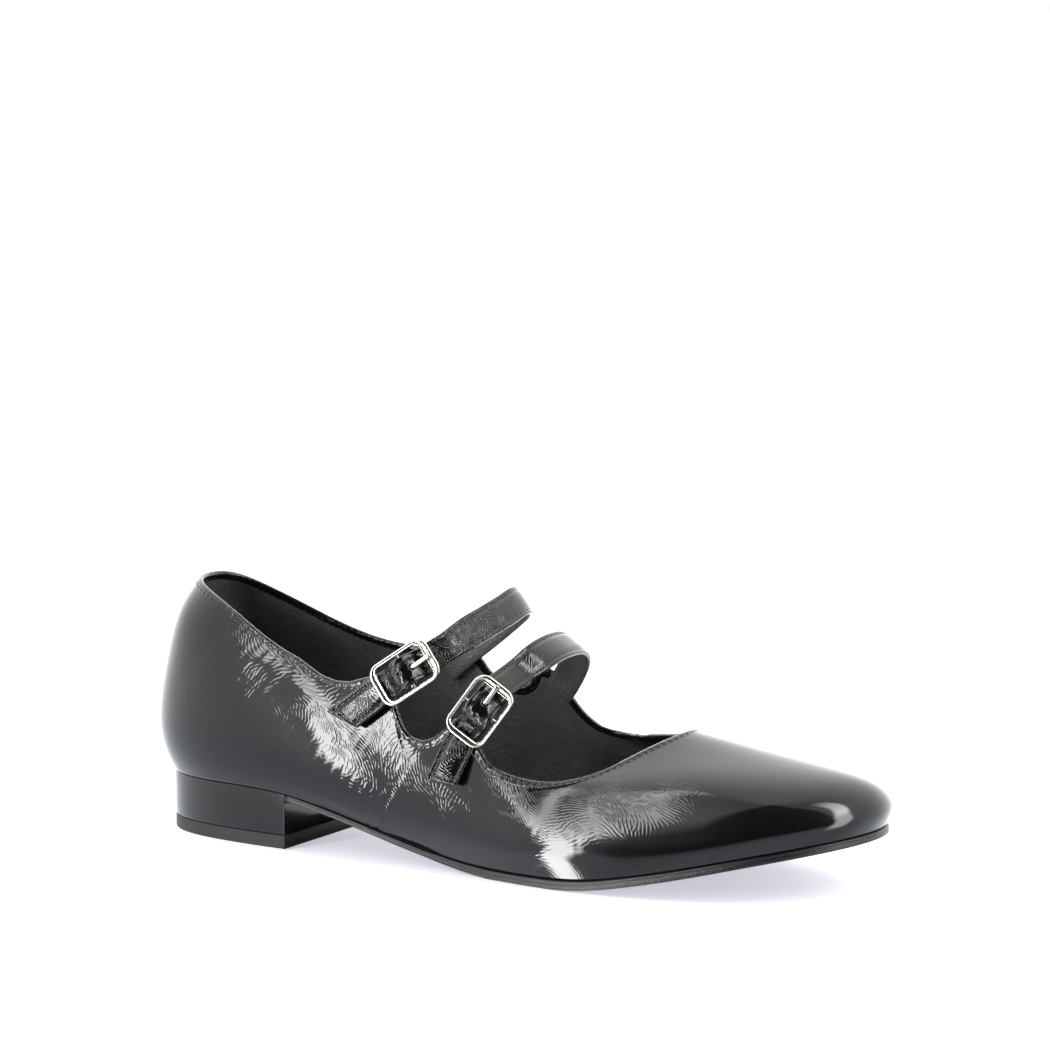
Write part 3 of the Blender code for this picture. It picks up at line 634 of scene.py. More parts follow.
def stitchPiece(name, places, length, thick):
    # places: middle, along, outward; one little loop of thread each
    bm = bmesh.new()
    for middle, along, out in places:
        x, z = Vector(along).normalized(), Vector(out).normalized()
        y = z.cross(x).normalized()
        turn = Matrix((x, y, x.cross(y))).transposed().to_4x4()
        size = Matrix.Diagonal((length / 2000, thick / 2000, thick / 2000, 1))
        bmesh.ops.create_uvsphere(
            bm, u_segments=8, v_segments=6, radius=1.0,
            matrix=Matrix.Translation(Vector(toRow(middle))) @ turn @ size,
        )
    for face in bm.faces:
        face.smooth = True
    return finishPiece(name, bm, (thread,), 1e-9)


def foldStitches():
    # one row outside and one inside, each half sunk in the leather
    b = foldBuild
    middles = (np.arange(stitchCount) + 0.5) * foldPitch
    us = np.interp(middles, foldRun, foldU)
    point, normal, up = edgeFrame(us)
    along = np.cross(up, normal)
    outer = point - up * b["stitchAt"] + normal * b["threadOut"]
    inner = point - up * b["stitchAt"] - normal * (last["wall"] - b["threadIn"])
    places = [*zip(outer, along, normal), *zip(inner, along, -normal)]
    return stitchPiece("toplineStitches", places, foldPitch * b["threadLength"], b["threadThick"])


dress(foldStitches(), "upper")

# Soles and heel: slabs between an outline and its middle line


def edgeAcross(start, end, out, toeOut):
    us = np.linspace(start, end, 900)
    edge, side = lastPoint(us, 0.0)[:, :2], lastNormal(us, 0.0)[:, :2]
    grow = np.interp(edge[:, 0], (60, 150), (out, toeOut))
    return edge + unit(side) * grow[:, None]


def bothSides(out, toeOut=None):
    # the lower edge moved out by so much, as an outer row and an inner row from heel to toe
    toeOut = out if toeOut is None else toeOut
    ring = np.concatenate([edgeAcross(0, 10, out, toeOut), edgeAcross(10, 20, out, toeOut)[1:-1]])
    back, front = int(ring[:, 0].argmin()), int(ring[:, 0].argmax())
    ring = np.roll(ring, -back, axis=0)
    front = (front - back) % len(ring)
    return ring[: front + 1], np.concatenate([ring[front:], ring[:1]])[::-1]


def rowsAt(edge, xs):
    order = np.argsort(edge[:, 0], kind="stable")
    return np.stack([xs, np.interp(xs, edge[order, 0], edge[order, 1])], 1)


def breastX(edge):
    # the breast stands a little askew; its place is taken where it meets this edge
    b = heelBuild
    y = rowsAt(edge, np.array([b["breastNear"]]))[0, 1]
    return b["breast"] + (y - b["breastFrom"]) * b["breastSkew"]


# where the flat faces begin, in from the edge, and the rows across them
flatInset, flatShares = 2.4, (0.0, 0.5, 0.82)


def slabPiece(name, sides, closing, topOf, underOf, build, material):
    # sides: outer and inner rows at the same shares; closing: the straight end, or empty
    outerRow, innerRow = sides
    ring = np.concatenate([outerRow, innerRow[::-1][1:], *([closing] if len(closing) else [])])
    if not len(closing):
        ring = ring[:-1]
    before, after = np.roll(ring, 1, 0), np.roll(ring, -1, 0)
    run = unit(after - before)
    normal = np.stack([run[:, 1], -run[:, 0]], 1)
    if (normal * (ring - ring.mean(0))).sum() < 0:
        normal = -normal
    # the faces fan out from a middle line that stops short of its two ends
    middle = (outerRow + innerRow) / 2
    order = np.argsort(middle[:, 0])
    facing = np.concatenate([middle, middle[::-1][1:], np.repeat(middle[:1], len(closing), 0)])[: len(ring)]
    short = build["short"]
    x = np.clip(facing[:, 0], middle[:, 0].min() + short[0], middle[:, 0].max() - short[1])
    centre = np.stack([x, np.interp(x, middle[order, 0], middle[order, 1])], 1)
    flats = [centre + (ring - normal * flatInset - centre) * share for share in flatShares]
    rows = [np.column_stack([flat, topOf(flat[:, 0])]) for flat in flats]
    high, low = topOf(ring[:, 0]), underOf(ring[:, 0])
    for inward, down in build["edge"]:
        rows.append(np.column_stack([ring - normal * inward, high + (low - high) * down]))
    rows += [np.column_stack([flat, underOf(flat[:, 0])]) for flat in flats[::-1]]
    place = np.stack(rows, 1)
    place = np.concatenate([place, place[:1]])
    return gridPiece(name, len(ring), len(rows) - 1, place, (material,))


def endRow(sides, shares):
    # straight across from the inner side's first point to the outer side's
    return sides[1][0] + (sides[0][0] - sides[1][0]) * np.array(shares)[:, None]


spread = np.linspace(0, 1, 181)
breastShares = np.linspace(0, 1, 14)[1:-1]

# edge: inward in mm and share of the way down; short: how far the middle line of the faces stops short
# at heel and toe; gap: clearance from the next piece
soleBuild = {
    "out": 0.1, "toeOut": 0.7, "gap": 0.15, "below": 0.12, "short": (0.0, 14.0),
    "edge": (
        (1.6, 0.0), (0.7, 0.0), (0.2, 0.05), (0.02, 0.14), (0.0, 0.26), (0.2, 0.32), (0.22, 0.37),
        (0.02, 0.44), (0.0, 0.6), (0.0, 0.8), (0.12, 0.93), (0.4, 0.99), (1.0, 1.0),
    ),
}
heelBuild = {
    "inset": 0.05, "gap": 0.12, "short": (14.0, 0.0),
    "breast": 57.0, "breastFrom": -30.0, "breastSkew": 0.07, "breastNear": 59.0, "corner": 0.25,
    "edge": (
        (1.2, 0.0), (0.5, 0.0), (0.12, 0.008), (0.0, 0.03), (0.0, 0.35), (0.0, 0.7), (0.0, 0.97),
        (0.12, 0.992), (0.5, 1.0), (1.2, 1.0),
    ),
}
liftBuild = {
    "inset": 0.2, "short": (14.0, 0.0),
    "edge": (
        (1.2, 0.0), (0.5, 0.0), (0.12, 0.03), (0.0, 0.09), (0.0, 0.5), (0.0, 0.9), (0.15, 0.97), (0.5, 1.0),
        (1.2, 1.0),
    ),
}
# sock: lining leather over the insole board, with a slight heel cup
sockBuild = {
    "inset": 0.25, "high": 2.4, "low": 0.1, "short": (14.0, 14.0),
    "edge": ((1.6, 0.0), (0.7, 0.03), (0.2, 0.12), (0.0, 0.3), (0.0, 0.7), (0.3, 1.0), (1.2, 1.0)),
}


def soleUnder(x):
    return np.maximum(0.0, bottomOf(x) - np.interp(x, *zip(*last["soleThick"])))


def buildOutsole():
    b = soleBuild
    sides = []
    for edge in bothSides(b["out"], b["toeOut"]):
        back = breastX(edge) + b["gap"]
        sides.append(rowsAt(edge, back + (edge[-1, 0] - back) * np.sin(spread * np.pi / 2)))
    closing = endRow(sides, breastShares)
    return slabPiece("outsole", sides, closing, lambda x: bottomOf(x) - b["below"], soleUnder, b, soleResin)


def heelPiece(name, build, topOf, underOf, material):
    # the ring runs from the breast round the back, so both rows are taken breast first
    sides = []
    for edge in bothSides(-build["inset"]):
        reach = breastX(edge) - edge[0, 0]
        shares = np.append(1 - np.cos(spread[::2] * np.pi / 2), 1.0)
        shares[-2:] -= (heelBuild["corner"] / reach, 0.0)
        sides.append(rowsAt(edge, edge[0, 0] + reach * shares)[::-1])
    closing = endRow(sides, (0.005, *breastShares, 0.995))
    return slabPiece(name, sides, closing, topOf, underOf, build, material)


def level(height):
    return lambda x: np.full(np.shape(x), height)


def heelSeat(x):
    return bottomOf(x) - heelBuild["gap"]


def buildSock():
    b = sockBuild
    shares = 0.5 - 0.5 * np.cos(np.pi * spread)
    edges = bothSides(-last["wall"] - b["inset"])
    sides = [rowsAt(edge, edge[0, 0] + (edge[-1, 0] - edge[0, 0]) * shares) for edge in edges]
    return slabPiece(
        "sockLining", sides, [], lambda x: bottomOf(x) + b["high"], lambda x: bottomOf(x) + b["low"], b,
        lining,
    )


dress(buildOutsole(), "outsole")
liftTop = last["liftThick"]
dress(heelPiece("heelBlock", heelBuild, heelSeat, level(liftTop + heelBuild["gap"]), heelPaint), "heel_block")
dress(heelPiece("topLift", liftBuild, level(liftTop), level(0.0), liftRubber), "top_lift")
dress(buildSock(), "insole")

# Straps, buckles, prongs and chapes

strapBuild = {
    "width": 10.6, "step": 0.32, "stitchIn": 1.5, "pitch": 2.2, "threadLength": 1.6, "threadThick": 0.4,
    "humpFoot": -1.95, "hump": 4.65, "humpReach": 7.4, "humpPower": 1.25, "pinch": 0.5,
    "overBar": (-9.6, 9.61, 0.6), "slantReach": 6.0,
    # at the loose end: how much, and over how many mm
    "endPull": (0.3, 1.0), "endDip": (0.35, 0.7), "endChannel": (0.3, 0.45),
    # the rows of thread: clear of both ends, places across the loose end, mm for all of the skew, and height
    "rowEnds": (2.6, 3.0), "endRow": (-2.9, 3.0, 1.9), "endSlant": 6.0, "threadUp": 0.58, "endThreadUp": 0.1,
    # the padded middle: height, extra at its centre, distance in from the stitches
    "crown": 1.02, "crownRise": 0.06, "crownIn": 1.4,
    # across and up: the rolled edge from the strap's side, the stitch channel and the flat below
    "edge": ((0.02, 0.25), (0.12, 0.52), (0.35, 0.72), (0.7, 0.8), (1.05, 0.76)),
    "channel": ((-0.25, 0.66), (0.0, 0.6), (0.25, 0.68), (0.6, 0.84), (1.0, 0.95)),
    "under": ((0.0, -0.3), (0.15, -0.6), (0.5, -0.8), (2.0, -0.8)),
    "holes": ((-1.0, 0.72, 0.75), (3.3, 0.85, 0.6)),  # along from the bar, radius, depth
}
# where each strap runs: middle, along and across give its place over the bar, end the loose end and
# arch its way over the instep; leg and ear take the chape to the upper; grain is creasing by mm from the bar,
# and hide is where the strap is cut from the leather's pattern
fastenings = {
    "rear": {
        "middle": (104.1, -33.0, 63.7), "along": (0.79, 0.235, 0.566), "across": (0.62, -0.04, -0.785),
        "end": (82.2, -35.6, 46.8), "skew": 3.0, "ear": -4.8, "leg": (-15.0, -11.5, -8.5),
        "startAcross": (0.63, -0.02, -0.77), "endAcross": (0.68, 0.0, -0.73), "hide": 0.0,
        "grain": ((-8, 1.0), (-5, 0.3), (5, 0.3), (9, 1.2), (26, 1.5), (32, 0.4)),
        "arch": [
            (115.4, -23.0, 72.3), (117.9, -14.7, 75.4), (120.3, -6.2, 78.0), (122.0, 1.8, 80.2),
            (122.6, 9.3, 81.9), (121.2, 15.3, 81.2), (117.2, 20.2, 78.2), (111.0, 23.3, 73.6),
            (103.2, 23.2, 67.2), (95.5, 21.6, 60.8), (88.6, 21.6, 54.8),
        ],
    },
    "front": {
        "middle": (132.6, -34.9, 54.0), "along": (0.56, 0.17, 0.81), "across": (0.77, 0.19, -0.6),
        "end": (120.9, -39.4, 30.8), "skew": 1.2, "ear": -4.45, "leg": (-11.0, -9.8, -8.5),
        "startAcross": (0.85, -0.03, -0.52), "endAcross": (0.76, 0.05, -0.65), "hide": 3.1,
        "grain": ((-8, 1.1), (-5, 0.6), (5, 0.5), (9, 0.25), (24, 0.2)),
        "arch": [
            (139.6, -20.6, 65.4), (142.2, -13.2, 68.9), (143.6, -5.7, 70.8), (144.0, 1.3, 71.1),
            (143.6, 7.8, 70.3), (142.2, 13.8, 67.9), (139.8, 18.8, 64.2), (136.6, 22.2, 59.8),
            (133.0, 24.0, 54.6), (129.6, 24.6, 49.8),
        ],
    },
}


def localFrame(f):
    along, across = unit(f["along"]), np.array(f["across"])
    across = unit(across - along * (across @ along))
    return np.array(f["middle"]), along, across, np.cross(across, along)


def strapRise(s):
    # height of the strap where it rides over the bar
    b = strapBuild
    hump = 0.5 + 0.5 * math.cos(math.pi * min(abs(s), b["humpReach"]) / b["humpReach"])
    return b["humpFoot"] + b["hump"] * hump ** b["humpPower"]


def catmull(points, step):
    # a smooth line through the points, about one step apart
    p = np.array(points, float)
    p = np.concatenate([[2 * p[0] - p[1]], p, [2 * p[-1] - p[-2]]])
    out = []
    for a, b, c, d in zip(p, p[1:], p[2:], p[3:]):
        n = max(1, round(np.linalg.norm((c - b)[:3]) / step))
        for t in np.arange(n) / n:
            bend = (2 * a - 5 * b + 4 * c - d) * t**2 + (3 * b - a - 3 * c + d) * t**3
            out.append(b + 0.5 * ((c - a) * t + bend))
    return np.array(out + [p[-2]])


def strapPath(f):
    # middle line, directions and half widths from the loose end over the bar to the inner side
    mid, along, across, up = localFrame(f)
    under = [mid + along * s + up * strapRise(s) for s in np.arange(*strapBuild["overBar"])]
    end = np.array(f["end"])
    tail = [end + (under[0] - end) * t for t in np.linspace(0, 1, 10)[:-1]]
    over = [np.array(p) for p in f["arch"]]
    turn = np.linspace(0, 1, len(over) + 1)[1:, None] ** 1.2
    early = np.linspace(1, 0, len(tail) + 8)[:, None] ** 0.8
    sides = [
        *unit(across * (1 - early) + np.array(f["startAcross"]) * early), *[across] * (len(under) - 8),
        *unit(across * (1 - turn) + np.array(f["endAcross"]) * turn),
    ]
    # it is pinched a little inside the frame
    width = np.full(len(sides), strapBuild["width"] / 2)
    width[len(tail) - 1 : len(tail) + len(under) + 1] -= strapBuild["pinch"]
    mixed = catmull(np.column_stack([np.array(tail + under + over), sides, width]), strapBuild["step"])
    for _ in range(6):
        mixed[1:-1] = (mixed[:-2] + 2 * mixed[1:-1] + mixed[2:]) / 4
    path, sides, width = mixed[:, :3], mixed[:, 3:6], mixed[:, 6]
    tangent = unit(np.gradient(path, axis=0))
    sides = unit(sides - tangent * (sides * tangent).sum(-1, keepdims=True))
    return path, tangent, sides, np.cross(sides, tangent), width


def strapSection(half):
    # across and up: a padded middle between two stitch channels, thick polished edges, flat lining below
    b = strapBuild
    lane = half - b["stitchIn"]
    top = [(c - half, h) for c, h in b["edge"]] + [(c - lane, h) for c, h in b["channel"]]
    for c in np.linspace(b["crownIn"] - lane, 0, 8)[:-1]:
        top.append((c, b["crown"] + b["crownRise"] * (1 - (c / lane) ** 2)))
    top = [*top, (0.0, b["crown"] + b["crownRise"]), *[(-c, h) for c, h in top[::-1]]]
    low = [(half - c, h) for c, h in b["under"]] + [(1.2, -0.8)]
    return top, low + [(-c, h) for c, h in low[::-1]]


def fadeOut(near, depth, reach):
    # all of it at the very end, and none beyond reach
    return depth * max(0.0, 1 - near / reach) ** 2


def buildStrap(tag, f):
    b = strapBuild
    path, tangent, side, up, width = strapPath(f)
    rings = []
    for i, (p, t, w, n, half) in enumerate(zip(path, tangent, side, up, width)):
        near = i * b["step"]
        top, low = strapSection(half - fadeOut(near, *b["endPull"]))
        slant = fadeOut(near, f["skew"] / half, b["slantReach"])
        # the end is folded and stitched across: a channel one stitch margin in
        deep, wide = b["endChannel"]
        dip = deep * math.exp(-(((near - b["stitchIn"]) / wide) ** 2)) + fadeOut(near, *b["endDip"])
        rings.append([p + w * c + n * (h - dip * (h > 0.4)) + t * slant * c for c, h in top + low])
    rings = np.array(rings)
    first, final = rings[:1].mean(1, keepdims=True), rings[-1:].mean(1, keepdims=True)
    caps = [first + (rings[:1] - first) * k for k in (0.0, 0.85)]
    ends = [final + (rings[-1:] - final) * k for k in (0.85, 0.0)]
    place = np.concatenate([*caps, rings, *ends])
    place = np.concatenate([place, place[:, :1]], 1)
    # each strap is cut from its own stretch of hide
    uv = leatherMap(place, np.arange(len(place)) * b["step"], len(place) // 2)
    uv[:, :, 0] += f["hide"]
    firstLow, lastRow = len(top) + 1, place.shape[1] - 1
    piece = gridPiece(
        f"{tag}Strap", len(place) - 1, lastRow, place, (strapPatent, lining),
        lambda row: 1 if firstLow <= row < lastRow - 3 else 0, uv,
    )
    return piece, path, tangent, side, up, width


# as shares of the hole's radius, but for reach and rise in mm
punchBuild = {"reach": 1.6, "edge": 1.15, "wall": 0.3, "rise": 0.09, "ringAt": 1.45, "ringWide": 0.25}


def punch(piece, middle, out, radius, deep):
    # presses a punched hole into the face of a strap, with the faint ring the punch leaves
    b = punchBuild
    centre, out = Vector(toRow(middle)), Vector(out)
    for vert in piece.data.vertices:
        off = (vert.co - centre) * 1000
        height = off.dot(out)
        d = (off - out * height).length
        if d < radius * 2 and abs(height) < b["reach"]:
            inside = min(max((radius * b["edge"] - d) / (radius * b["wall"]), 0.0), 1.0)
            ring = b["rise"] * math.exp(-(((d - radius * b["ringAt"]) / (radius * b["ringWide"])) ** 2))
            vert.co += out * (ring - deep * inside * inside * (3 - 2 * inside)) / 1000


def strapStitches(tag, f, path, tangent, side, up, width):
    # a row of stitches along each edge and one across the loose end
    b = strapBuild
    length = runOf(path)
    lane = width - b["stitchIn"]
    first, final = b["rowEnds"]
    wanted = [(s, sign * np.interp(s, length, lane), False) for sign in (-1, 1)
              for s in np.arange(first, length[-1] - final, b["pitch"])]
    wanted += [(b["stitchIn"], c, True) for c in np.arange(*b["endRow"])]
    spots = []
    for s, c, over in wanted:
        p, t, w, n = (
            np.array([np.interp(s, length, row) for row in line.T]) for line in (path, tangent, side, up)
        )
        slant = fadeOut(s, f["skew"] / np.interp(s, length, width), b["slantReach"])
        at = p + w * c + n * b["threadUp"] + t * slant * c
        aslant = w + t * f["skew"] / b["endSlant"]
        spots.append((at + n * b["endThreadUp"], aslant, n) if over else (at, t, n))
    return stitchPiece(f"{tag}StrapStitches", spots, b["threadLength"], b["threadThick"])


for tag, f in fastenings.items():
    strap, *course = buildStrap(tag, f)
    mid, along, across, out = localFrame(f)
    for s, radius, deep in strapBuild["holes"]:
        tilt = unit(out * 2 - along * (strapRise(s + 0.5) - strapRise(s - 0.5)) * 2)
        punch(strap, mid + along * s + out * (strapRise(s) + 1.05), tilt, radius, deep)
    # drawn smooth over the bar, and again where it lies round over the instep
    paintGrain(strap, lambda mm: np.interp((mm - mid) @ along, *zip(*f["grain"])))
    dress(strap, f"strap_{tag}")
    dress(strapStitches(tag, f, *course), f"strap_{tag}")

buckleBuild = {
    "length": 22.6, "width": 15.0, "corner": 4.4, "endRail": 2.7, "sideRail": 1.4, "thick": 1.6, "bar": 0.65,
    "barDown": 0.8, "barShort": 1.6, "fill": 0.8, "cornerSteps": 15, "railSteps": 6,
    # cast frame: a high outer bead, a hollow face and a low inner bead; 1 is the outer side, 0 the inner
    "section": (
        (0.98, 0.2), (0.9, 0.62), (0.74, 0.84), (0.56, 0.78), (0.44, 0.52), (0.34, 0.4), (0.24, 0.46),
        (0.14, 0.56), (0.05, 0.45), (0.0, 0.1), (0.04, -0.5), (0.25, -0.8), (0.6, -0.85), (0.88, -0.65),
        (1.0, -0.2),
    ),
}


def frameLine():
    # round the middle of the outer edge: across the length, across the width, and which way it faces
    b = buckleBuild
    a, c, r = b["length"] / 2 - b["corner"], b["width"] / 2 - b["corner"], b["corner"]
    spots = []
    for k in range(4):
        cx, cy = a * (1, -1, -1, 1)[k], c * (1, 1, -1, -1)[k]
        nx, ny = a * (-1, -1, 1, 1)[k], c * (1, -1, -1, 1)[k]
        for t in np.linspace(0, math.pi / 2, b["cornerSteps"]) + k * math.pi / 2:
            spots.append((cx + r * math.cos(t), cy + r * math.sin(t), t))
        t = (k + 1) * math.pi / 2
        start = (cx + r * math.cos(t), cy + r * math.sin(t))
        end = (nx + r * math.cos(t), ny + r * math.sin(t))
        for q in np.linspace(0, 1, b["railSteps"])[1:-1]:
            spots.append((start[0] + (end[0] - start[0]) * q, start[1] + (end[1] - start[1]) * q, t))
    return spots


def buildBuckle(tag, f):
    b = buckleBuild
    mid, along, across, up = localFrame(f)
    loop = b["section"]
    section = catmull([loop[-1], *loop, loop[0], loop[1]], 0.09)[1:-1]
    rings = []
    for px, py, t in frameLine():
        ox, oy = math.cos(t), math.sin(t)
        rail = b["sideRail"] + (b["endRail"] - b["sideRail"]) * ox * ox
        centre, outward = mid + along * px + across * py, along * ox + across * oy
        # the hollow fills up along the slim side rails
        fill = b["fill"] * (1 - ox * ox)
        face = [(x, y + fill * max(0.0, 0.8 - y) if y > 0.3 and 0.1 < x < 0.7 else y) for x, y in section]
        rings.append([centre - outward * rail * (1 - x) + up * y * b["thick"] / 2 for x, y in face])
    place = np.array(rings + rings[:1])
    place = np.concatenate([place, place[:, :1]], 1)
    piece = gridPiece(f"{tag}Buckle", len(place) - 1, place.shape[1] - 1, place, (nickel,))
    bm = bmesh.new()
    bm.from_mesh(piece.data)
    turn = Matrix((Vector(along), Vector(up), Vector(across))).transposed().to_4x4()
    bar = bmesh.ops.create_cone(
        bm, cap_ends=True, segments=24, radius1=b["bar"] / 1000, radius2=b["bar"] / 1000,
        depth=(b["width"] - b["barShort"]) / 1000,
        matrix=Matrix.Translation(Vector(toRow(mid - up * b["barDown"]))) @ turn,
    )
    for face in {face for vert in bar["verts"] for face in vert.link_faces}:
        face.smooth = len(face.verts) < 5
    bm.to_mesh(piece.data)
    bm.free()
    return piece


def sweepPiece(name, rings, material, mapped=False):
    # a closed tube through the rings, its ends drawn to points
    rings = np.array(rings)
    caps = [np.repeat(ring.mean(0)[None, None], ring.shape[0], 1) for ring in (rings[0], rings[-1])]
    place = np.concatenate([caps[0], rings, caps[1]])
    place = np.concatenate([place, place[:, :1]], 1)
    uv = leatherMap(place, runOf(place[:, 0]), 2) if mapped else None
    return gridPiece(name, len(place) - 1, place.shape[1] - 1, place, (material,), None, uv)


def squareRing(centre, wide, high, half, thick, power):
    # a flattened loop with soft corners
    ring = []
    for t in np.linspace(0, 2 * math.pi, 21)[:-1]:
        x = half * math.copysign(abs(math.cos(t)) ** power, math.cos(t))
        y = thick * math.copysign(abs(math.sin(t)) ** power, math.sin(t))
        ring.append(centre + wide * x + high * y)
    return ring


# prong and chape go round the bar on the same small loop; half is half the width; points are along and up
loopBuild = {"radius": 1.4, "down": 0.8}
prongBuild = {
    "half": 0.72, "thick": 0.42, "corner": 0.55, "loop": range(-60, -271, -15), "taper": (1.0, 0.9, 0.6),
    "reach": (1.2, 3.0, 5.5, 8.0, 9.9, 10.6, 10.9), "lift": 0.7, "slope": 0.12,
}
chapeBuild = {
    "half": 4.8, "thick": 0.4, "corner": 0.3, "loop": range(-90, 91, 30), "earUp": 0.8, "grain": 0.6,
    "below": ((-5.2, -3.0), (-2.6, -2.35), (-1.2, -2.2)), "back": ((-1.0, 0.45), (-2.2, -0.1), (-2.8, -0.5)),
}


def barLoop(degrees):
    b = loopBuild
    return [(b["radius"] * math.cos(t), b["radius"] * math.sin(t) - b["down"]) for t in np.radians(degrees)]


def flatStrip(f, build, line, taper):
    # rings of a flat strip that follows the line in the plane of along and up
    mid, along, across, up = localFrame(f)
    flat = catmull([(x, 0.0, z) for x, z in line], 0.5)
    tangent = unit(np.gradient(flat, axis=0))
    rings = []
    for k, ((x, _, z), (tx, _, tz)) in enumerate(zip(flat, tangent)):
        small = taper[max(0, k - len(flat) + len(taper))]
        half, thick = build["half"] * small, build["thick"] * small
        centre, high = mid + along * x + up * z, up * tx - along * tz
        rings.append(squareRing(centre, across, high, half, thick, build["corner"]))
    return rings


def buildProng(tag, f):
    b = prongBuild
    line = barLoop(b["loop"]) + [(x, b["lift"] + b["slope"] * x) for x in b["reach"]]
    return sweepPiece(f"{tag}Prong", flatStrip(f, b, line, b["taper"]), nickel)


def buildChape(tag, f):
    # leather tab from the upper's ear, folded round the bar
    b = chapeBuild
    line = [(x, f["ear"] + b["earUp"]) for x in f["leg"]] + [*b["below"], *barLoop(b["loop"]), *b["back"]]
    piece = sweepPiece(f"{tag}Chape", flatStrip(f, b, line, (1.0,)), strapPatent, True)
    paintGrain(piece, lambda mm: np.full(len(mm), b["grain"]))
    return piece


for tag, f in fastenings.items():
    dress(buildBuckle(tag, f), f"buckle_{tag}")
    dress(buildProng(tag, f), f"prong_{tag}")
    dress(buildChape(tag, f), f"chape_{tag}")

# Studio: a white tent, open and dark towards the camera, with a strip of light at each side of the opening

scene = bpy.context.scene
scene.view_settings.view_transform = "Standard"

# lengths in mm but for the distance, in metres; angles in degrees
viewing = {
    "azimuth": 28.29, "elevation": 11.42, "distance": 1.5, "focal": 157.8771429, "sensor": 36.0,
    "target": (128.0, 0.0, 40.0), "pitch": 2.601, "yaw": -0.077,
}
studio = {
    "walls": 1.65, "opening": 0.95, "leftStrip": 18.0, "rightStrip": 12.0,
    # height above the horizon in degrees, then the value
    "wallTone": (
        (-90, 0.5), (-40, 0.68), (-20, 0.8), (0, 0.95), (50, 1.0), (66, 0.85), (78, 0.6), (90, 0.55),
    ),
    "openingTone": ((-90, 1.0), (-40, 0.98), (-26, 0.86), (-19, 0.62), (-12, 0.1), (-6, 0.03), (90, 0.03)),
    "leftTone": (
        (-90, 0.6), (-46, 1.0), (4, 1.0), (13, 0.88), (28, 0.5), (38, 0.3), (60, 0.33), (72, 0.3), (78, 0.0),
        (90, 0.0),
    ),
    "rightTone": (
        (-90, 0.0), (-34, 0.0), (-22, 0.45), (28, 0.55), (44, 1.0), (52, 0.8), (66, 0.5), (78, 0.0),
        (90, 0.0),
    ),
    # where the left strip stands, in hundredths of a degree of turn; it leans away low down and high up
    "leftPlace": (
        (-90, 0.85), (-52, 0.75), (-44, 0.67), (-36, 0.6), (-28, 0.555), (-20, 0.525), (-8, 0.515),
        (20, 0.515), (44, 0.54), (52, 0.58), (60, 0.68), (66, 0.8), (71, 0.96), (90, 1.0),
    ),
    # round from the camera, in degrees, then the value; the curve holds up to roundTop
    "roundTone": ((0, 0.75), (72, 0.75), (100, 1.1), (125, 1.4), (155, 1.4), (180, 1.4)),
    "roundTop": 1.5,
    # from, to and softness, in degrees of turn
    "openingSpan": (-47.0, 52.0, 4.0), "leftSpan": (-7.0, 6.0, 2.5), "rightSpan": (48.0, 66.0, 4.0),
    # the colour of the light, as plain multipliers: off the lit table, off the walls, and of the strips
    "tableTint": (0.94, 0.99, 1.08, 1.0), "wallTint": (1.0, 0.99, 0.97, 1.0),
    "stripTint": (1.0, 0.985, 0.965, 1.0),
}
world = bpy.data.worlds.new("lightTent")
scene.world = world
world.use_nodes = True
tree = world.node_tree
tree.nodes.clear()
aim = addNode(tree, "ShaderNodeTexCoord").outputs["Generated"]
turned = addNode(tree, "ShaderNodeVectorRotate", {"Vector": aim}, rotation_type="Z_AXIS",
                 Angle=-math.radians(viewing["azimuth"]))
part = addNode(tree, "ShaderNodeSeparateXYZ", {0: turned.outputs[0]})


def spanSteps(name, measure, low, high, soft):
    # 1 between low and high, easing to 0 over soft on each side
    steps = []
    for side, first, second in ((name + "Rise", measure, low), (name + "Fall", high, measure)):
        steps += [
            (side + "Far", "SUBTRACT", first, second), (side + "Share", "DIVIDE", side + "Far", soft),
            (side + "Kept", "MAXIMUM", side + "Share", 0.0), (side, "SMOOTH_MIN", side + "Kept", 1.0, 0.05),
        ]
    return [*steps, (name, "MULTIPLY", name + "Rise", name + "Fall")]


